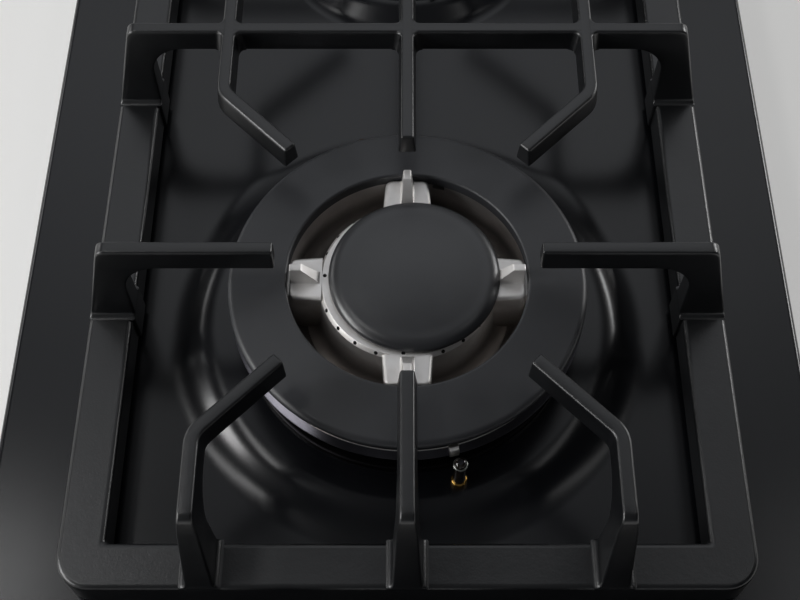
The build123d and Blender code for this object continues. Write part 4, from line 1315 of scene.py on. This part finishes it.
@dataclass
class Grate:
    """One-piece cast grate: base frame, legs, side bars, crossbar and fingers."""

    wok_y: float = -64.0
    rear_y: float = 144.0
    cross_y: float = 35.4
    top: float = 108.4
    bar_height: float = 9.5
    half_widths: tuple[float, float, float] = (5.0, 3.4, 2.4)
    base_low: float = 54.3
    base_high: float = 68.3
    front: float = -172.0
    back: float = 242.0
    half_width: float = 118.0
    base_width: float = 16.0
    base_corner: float = 12.0
    side_x: float = 68.8
    bend: float = 9.0
    tip_r: float = 46.8
    corner_tip_r: float = 60.0
    rear_tip_r: float = 30.0
    rear_corner_tip_r: float = 42.0
    setback: float = 10.0
    curve: float = 13.0
    edge: float = 0.9
    crest_r: float = 3.5
    crossing_r: float = 2.6
    crossing_drop: float = 0.06
    foot_r: float = 2.2
    foot_set: float = 0.15
    foot_sink: float = 0.5

    def half(self, height: np.ndarray) -> np.ndarray:
        """Half the width of a bar or leg: narrow on top, wide at the foot, and flared by an arc on the base.

        Args:
            height: Heights of any shape.

        Returns:
            Half widths of that shape.
        """
        foot, under, crest = self.half_widths
        heights = [self.base_low, self.base_high, self.top - self.bar_height, self.top]
        straight = np.interp(height, heights, [foot, foot, under, crest])
        near = np.clip(1 - (height - self.base_high) / self.foot_r, 0, 1)
        return straight + self.foot_r * (1 - np.sqrt(1 - near**2))

    def leg_lines(self, total: float, high: float) -> tuple[np.ndarray, np.ndarray]:
        """Side view of a bar's end that turns down into a leg: its outer and its inner line.

        The outer line runs along the top, round the crest and down the sloped face; the inner one runs round
        the hollow curve and down the leg's back.

        Args:
            total: Length of the bar's path, which ends at the base's outer face.
            high: Height of the bar's top.

        Returns:
            Two arrays of stations by 2, distance along the path and height.
        """
        under = self.top - self.bar_height
        back = total - self.base_width - 1
        foot = (total - self.foot_set, self.base_high)
        peak = [(back - self.curve, high), (total - self.setback, high, self.crest_r), foot]
        crest = rounded(peak, closed=False, steps=8, guard=0.0)[2:11]
        lead = np.linspace([back - self.curve, high], crest[0], 7)[:-1]
        bow = np.radians(np.linspace(0, 90, len(lead) + len(crest)))
        hollow_reach = back - self.curve * (1 - np.sin(bow))
        hollow = np.stack([hollow_reach, under - self.curve * (1 - np.cos(bow))], axis=1)
        flare_top = self.base_high + self.foot_r
        flare = flare_top - self.foot_r * np.sin(np.radians(np.linspace(0, 90, 9)))[1:]
        sink = self.base_low + self.foot_sink
        outer_height, inner_height = [
            np.concatenate([np.linspace(line[-1, 1], flare_top, 7)[1:], flare, [sink]])
            for line in (crest, hollow)
        ]
        lean = (foot[0] - crest[-1, 0]) / (crest[-1, 1] - self.base_high)
        outer_reach = np.minimum(crest[-1, 0] + (crest[-1, 1] - outer_height) * lean, foot[0])
        outer = np.vstack([lead, crest, np.stack([outer_reach, outer_height], axis=1)])
        inner = np.vstack([hollow, np.stack([np.full_like(inner_height, back), inner_height], axis=1)])
        return outer, inner

    def side_view(
        self, along: np.ndarray, high: float, start_leg: bool, end_leg: bool
    ) -> tuple[np.ndarray, np.ndarray]:
        """Outer and inner line of a whole bar: each end is a leg or a blunt tip, with the level bar between.

        Args:
            along: Distance of each point of the path from its start.
            high: Height of the bar's top.
            start_leg: Whether the bar turns down into a leg at the path's start.
            end_leg: Whether it does at the path's end.

        Returns:
            Two arrays of stations by 2, distance along the path and height.
        """
        total, heights = along[-1], (high, self.top - self.bar_height)
        leg_reach, tip_reach, apart = self.base_width + self.curve + 2, 2.0, 0.5
        first = leg_reach if start_leg else tip_reach
        last = total - (leg_reach if end_leg else tip_reach)
        level = np.concatenate([[first], along[(along > first + apart) & (along < last - apart)], [last]])
        tip = (total - self.edge * (1 - np.cos(np.radians(np.linspace(0, 90, 7)))))[::-1]
        lines = []
        for leg, height in zip(self.leg_lines(total, high), heights):
            blunt = np.stack([tip, np.full_like(tip, height)], axis=1)
            start = (leg if start_leg else blunt)[::-1] * MIRROR + [total, 0]
            middle = np.stack([level, np.full_like(level, height)], axis=1)
            lines.append(np.vstack([start, middle, leg if end_leg else blunt]))
        return lines[0], lines[1]

    def flank(
        self, outer: np.ndarray, inner: np.ndarray, shrink: np.ndarray
    ) -> tuple[np.ndarray, np.ndarray]:
        """Half of each section: points from the inner to the outer line, drawn in by an arc at both edges.

        Args:
            outer: Stations by 2.
            inner: Stations by 2.
            shrink: How far each station's section draws in all round, as at a blunt tip.

        Returns:
            Stations by points by 2, and the inset of each of those points.
        """
        arc = np.radians(np.linspace(0, 90, 6))
        roll, drop = self.edge * (1 - np.cos(arc)), self.edge * (1 - np.sin(arc))
        thick = np.linalg.norm(outer - inner, axis=1)[:, None]
        share = np.linspace(0, 1, 8)[1:-1]
        rise, upper = roll + 0 * thick, thick - drop
        between = rise[:, -1:] + (upper[:, :1] - rise[:, -1:]) * share
        out = np.clip(np.concatenate([rise, between, upper], axis=1), shrink, thick - shrink) / thick
        inset = np.concatenate([drop, 0 * share, roll])
        return inner[:, None] + (outer - inner)[:, None] * out[..., None], inset

    def bar(
        self, corners: Sequence[tuple], start_leg: bool = False, end_leg: bool = False, drop: float = 0.0
    ) -> Skin:
        """Cast bar and its legs: a round-edged section that narrows upwards, carried along a path.

        Args:
            corners: Plan points of the path, with bend radii.
            start_leg: Whether the bar turns down into a leg at the path's start.
            end_leg: Whether it does at the path's end.
            drop: Distance of the bar's top below the grate's, so that crossing faces don't coincide.

        Returns:
            The closed skin.
        """
        path = rounded(corners, closed=False, steps=16)
        step = np.linalg.norm(np.diff(path, axis=0), axis=1)
        along = np.concatenate([[0], np.cumsum(step)])
        total = along[-1]
        outer, inner = self.side_view(along, self.top - drop, start_leg, end_leg)
        near_start = outer[:, 0] + (total if start_leg else 0.0)
        near_end = total - outer[:, 0] + (total if end_leg else 0.0)
        depth = np.clip(1 - np.minimum(near_start, near_end) / self.edge, 0, 1)
        shrink = self.edge * (1 - np.sqrt(np.clip(1 - depth**2, 0, 1)))[:, None]
        spot, inset = self.flank(outer, inner, shrink)
        where, height = spot[..., 0], spot[..., 1]
        half = np.maximum(self.half(height) - inset - shrink, 0.05)[..., None]
        middle = (along[:-1] + along[1:]) / 2
        slopes = np.diff(path, axis=0) / step[:, None]
        plan = np.stack([np.interp(where, along, path[:, axis]) for axis in (0, 1)], axis=-1)
        heading = np.stack([np.interp(where, middle, slopes[:, axis]) for axis in (0, 1)], axis=-1)
        heading /= np.linalg.norm(heading, axis=-1, keepdims=True)
        across = np.stack([heading[..., 1], -heading[..., 0]], axis=-1) * half
        loop = np.concatenate([plan - across, (plan + across)[:, ::-1]], axis=1)
        spine = np.concatenate([plan, plan[:, ::-1]], axis=1)
        tall = np.concatenate([height, height[:, ::-1]], axis=1)[..., None]
        rings, closing = np.concatenate([loop, tall], axis=2), np.concatenate([spine, tall], axis=2)
        return lattice(np.concatenate([closing[:1], rings, closing[-1:]]))

    def crossing(self, x: float, y: float) -> Skin:
        """Filleted crossing of two bars: a plus-shaped outline with hollow corners, narrowing upwards.

        Args:
            x: Place of its middle across.
            y: Place of its middle front to back.

        Returns:
            The closed skin.
        """
        arc = np.radians(np.linspace(0, 90, 9))
        roll = np.radians(np.linspace(0, 90, 6))
        low, high = self.top - self.bar_height + self.crossing_drop, self.top - self.crossing_drop
        height = np.array([low, low + 0.34, *(high - self.edge * (1 - np.sin(roll))), high])
        inset = np.array([0, 0, *(self.edge * (1 - np.cos(roll))), self.edge + 0.2])
        spin = np.array([[0, 1], [-1, 0]])
        outlines = []
        for half, reach in zip(self.half(height) - inset, self.crossing_r + inset):
            quarter = np.stack([half + reach * (1 - np.cos(arc)), half + reach * (1 - np.sin(arc))], axis=1)
            outlines.append(np.vstack([quarter @ np.linalg.matrix_power(spin, turn) for turn in range(4)]))
        return stacked(np.array(outlines) + [x, y], height)

    def base(self) -> Skin:
        """Base frame: a round-edged section carried round a rounded rectangle.

        Returns:
            The closed skin.
        """
        side, mid_y = self.base_width / 2, (self.front + self.back) / 2
        half_w, half_l = self.half_width - side, (self.back - self.front) / 2 - side
        low, high = self.base_low, self.base_high
        corners = [(-side, low, 1.0), (side, low, 1.0), (side, high, 1.8), (-side, high, 1.8)]
        loops = []
        for out, height in rounded(corners, steps=5):
            w, l, r = half_w + out, half_l + out, max(self.base_corner - side + out, 1.5)
            path = rounded([(-w, -l, r), (w, -l, r), (w, l, r), (-w, l, r)], steps=10, guard=0.4)
            loops.append(np.column_stack([path + [0, mid_y], np.full(len(path), height)]))
        return lattice(np.array(loops), ring=True)

    def side_bars(self, side: int) -> list[Skin]:
        """The bars of one side: finger, bend and bar between the burners, and the two that run out to legs.

        Args:
            side: -1 for the left side, 1 for the right one.

        Returns:
            The closed skins.
        """
        x, edge_x = side * self.side_x, side * self.half_width
        burners = (
            (self.wok_y, -1, self.tip_r, self.corner_tip_r, self.front),
            (self.rear_y, 1, self.rear_tip_r, self.rear_corner_tip_r, self.back),
        )
        skins, inner = [], []
        for y, end, tip_r, corner_tip_r, leg_y in burners:
            tip = corner_tip_r / math.sqrt(2)
            skins.append(self.bar([(side * tip_r, y), (edge_x, y)], end_leg=True))
            corners = [(side * tip, y + end * tip), (x, y + end * self.side_x, self.bend), (x, leg_y)]
            skins.append(self.bar(corners, end_leg=True))
            inner.append([(side * tip, y - end * tip), (x, y - end * self.side_x, self.bend)])
        skins.insert(2, self.bar([*inner[0], *inner[1][::-1]]))
        return skins

    def build(self) -> None:
        """Make the grate."""
        skins = [
            self.base(),
            self.bar([(0, self.front), (0, self.wok_y - self.tip_r)], start_leg=True),
            self.bar([(0, self.wok_y + self.tip_r), (0, self.rear_y - self.rear_tip_r)]),
            self.bar([(0, self.rear_y + self.rear_tip_r), (0, self.back)], end_leg=True),
        ]
        ends = [(-self.half_width, self.cross_y), (self.half_width, self.cross_y)]
        skins.append(self.bar(ends, start_leg=True, end_leg=True, drop=3 * HAIR))
        skins += [self.crossing(x, self.cross_y) for x in (-self.side_x, 0, self.side_x)]
        for side in (-1, 1):
            skins += self.side_bars(side)
        make(Skin.join(skins), "cast_grate", Body.GRATE, IRON_ENAMEL, ["grate"])


# ---- floor, light and camera


@dataclass(frozen=True)
class SoftBox:
    """Rectangular lamp aimed at the front burner, in metres and watts."""

    name: str
    place: tuple[float, float, float]
    size: tuple[float, float]
    power: float

    def build(self, aim: np.ndarray) -> None:
        """Set up the lamp.

        Args:
            aim: Point that it faces, in metres.
        """
        data = bpy.data.lights.new(self.name, "AREA")
        data.shape = "RECTANGLE"
        data.size, data.size_y = self.size
        data.energy = self.power
        lamp = bpy.data.objects.new(self.name, data)
        bpy.context.scene.collection.objects.link(lamp)
        lamp.location = self.place
        lamp.rotation_mode = "QUATERNION"
        lamp.rotation_quaternion = Vector(aim - np.array(self.place)).to_track_quat("-Z", "Y")


@dataclass
class Studio:
    """Floor, soft light and the camera of the photograph.

    The sky's strength runs between two levels along Y and falls again towards the back and the sides. Each
    span gives the parts of a direction between which it changes.
    """

    floor_colour: str = "#e9e8e6"
    floor_reach: float = 6.0
    floor_glow: float = 0.30
    aim: tuple[float, float, float] = (0.0, -64.0, 87.0)
    camera_back: tuple[float, float, float] = (0.0, -225.3, 390.8)
    lens: float = 56.28
    shift: tuple[float, float] = (-0.0092, -0.0275)
    sky_colour: str = "#f7faff"
    sky_levels: tuple[float, float] = (0.09, 0.76)
    sky_span: tuple[float, float] = (0.20, 0.60)
    sky_fall: tuple[float, float] = (0.62, 0.80)
    sky_far: float = 0.55
    sky_sides: tuple[float, float] = (0.24, 0.52)
    sky_side: float = 0.12
    horizon: tuple[float, float] = (0.02, 0.07)
    boxes: tuple[SoftBox, ...] = (
        SoftBox("left_soft_box", (-1.35, -0.20, 0.90), (0.45, 0.45), 8.0),
        SoftBox("high_left_soft_box", (-0.62, 0.04, 1.33), (0.54, 0.14), 1.3),
        SoftBox("high_right_soft_box", (0.62, 0.04, 1.33), (0.54, 0.14), 0.28),
        SoftBox("low_left_soft_box", (-1.13, -0.62, 0.50), (0.70, 0.30), 5.5),
        SoftBox("back_right_soft_box", (1.10, 0.62, 0.54), (0.50, 0.30), 5.0),
        SoftBox("back_left_soft_box", (-1.10, 0.62, 0.54), (0.50, 0.30), 1.4),
    )

    def seen(self, tree: bpy.types.NodeTree) -> bpy.types.NodeSocket:
        """Output that is 1 for a ray from the camera, off gloss or through glass, and 0 for other light.

        Args:
            tree: Node tree that takes the nodes.

        Returns:
            The output socket.
        """
        path = add(tree, "ShaderNodeLightPath", {}).outputs
        seen = path["Is Camera Ray"]
        for kind in ("Is Glossy Ray", "Is Transmission Ray"):
            seen = add(tree, "ShaderNodeMath", {".operation": "MAXIMUM"}, _0=seen, _1=path[kind]).outputs[0]
        return seen

    def floor(self) -> None:
        """Plain pale ground, far larger than the object."""
        reach = self.floor_reach
        mesh = bpy.data.meshes.new("studio_floor")
        corners = [(-reach, -reach, 0), (reach, -reach, 0), (reach, reach, 0), (-reach, reach, 0)]
        mesh.from_pydata(corners, [], [(0, 1, 2, 3)])
        ground = bpy.data.objects.new("studio_floor", mesh)
        bpy.context.scene.collection.objects.link(ground)
        made = bpy.data.materials.new("pale studio paper")
        made.use_nodes = True
        tree = made.node_tree
        shader = tree.nodes["Principled BSDF"]
        shader.inputs["Base Color"].default_value = linear(self.floor_colour)
        shader.inputs["Roughness"].default_value = 0.9
        shader.inputs["Specular IOR Level"].default_value = 0.2
        shader.inputs["Emission Color"].default_value = linear(self.floor_colour)
        glow = add(tree, "ShaderNodeMath", {".operation": "MULTIPLY", 1: self.floor_glow}, _0=self.seen(tree))
        tree.links.new(glow.outputs[0], shader.inputs["Emission Strength"])
        mesh.materials.append(made)

    def sky(self) -> None:
        """World light: dim in front and to the sides, lighter to the back, its horizon white where seen."""
        world = bpy.data.worlds.new("studio")
        bpy.context.scene.world = world
        world.use_nodes = True
        tree = world.node_tree
        tree.nodes.clear()
        place = add(tree, "ShaderNodeTexCoord", {}).outputs["Generated"]
        split = add(tree, "ShaderNodeSeparateXYZ", {}, Vector=place).outputs
        aside = add(tree, "ShaderNodeMath", {".operation": "ABSOLUTE"}, _0=split["X"])
        product = {".operation": "MULTIPLY"}
        changes = (
            (split["Y"], self.sky_span, self.sky_levels),
            (split["Y"], self.sky_fall, (1.0, self.sky_far)),
            (aside, self.sky_sides, (1.0, self.sky_side)),
        )
        level = None
        for part, (start, full), (near, far) in changes:
            span = {".interpolation_type": "SMOOTHSTEP", 1: start, 2: full, 3: near, 4: far}
            change = add(tree, "ShaderNodeMapRange", span, _0=part)
            level = add(tree, "ShaderNodeMath", product, _0=level, _1=change) if level else change
        span = {1: self.horizon[0], 2: self.horizon[1], 3: 1.0, 4: 0.0}
        low = add(tree, "ShaderNodeMapRange", span, _0=split["Z"])
        share = add(tree, "ShaderNodeMath", product, _0=low, _1=self.seen(tree))
        strength = add(tree, "ShaderNodeMix", {".data_type": "FLOAT", 3: 1.0}, _0=share, _2=level)
        back = add(tree, "ShaderNodeBackground", {"Color": linear(self.sky_colour)}, Strength=strength)
        add(tree, "ShaderNodeOutputWorld", {}, Surface=back)

    def camera(self) -> None:
        """Camera at the photograph's place and angle."""
        data = bpy.data.cameras.new("camera")
        data.lens = self.lens
        data.sensor_width = 36.0
        data.shift_x, data.shift_y = self.shift
        data.clip_start = 0.01
        view = bpy.data.objects.new("camera", data)
        bpy.context.scene.collection.objects.link(view)
        back = Vector(self.camera_back) * MM
        view.location = Vector(self.aim) * MM + back
        view.rotation_mode = "QUATERNION"
        view.rotation_quaternion = (-back).to_track_quat("-Z", "Y")
        bpy.context.scene.camera = view

    def build(self) -> None:
        """Set the stage."""
        self.floor()
        self.sky()
        for box in self.boxes:
            box.build(np.array(self.aim) * MM)
        self.camera()
        bpy.context.scene.view_settings.view_transform = "Standard"


def corners(box: object) -> list[list[float]]:
    """Plain lists of a box's lowest and highest corners."""
    low, high = box
    return [[float(value) for value in low], [float(value) for value in high]]


def main() -> None:
    """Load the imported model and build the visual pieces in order."""
    logging.basicConfig(level=logging.INFO, format="%(name)s: %(message)s")
    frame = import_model()
    dress_nodes(frame["nodes"])
    TopPlate().build()
    WokBurner().build()
    RearBurner().build()
    SparkElectrode("front", 18.3, -130.0, 75.3).build()
    SparkElectrode("rear", 11.7, 101.7, 63.3).build()
    Knob("front", Body.FRONT_CONTROL, -45.0).build()
    Knob("rear", Body.REAR_CONTROL, 45.0).build()
    Grate().build()
    Studio().build()


if __name__ == "__main__":
    main()
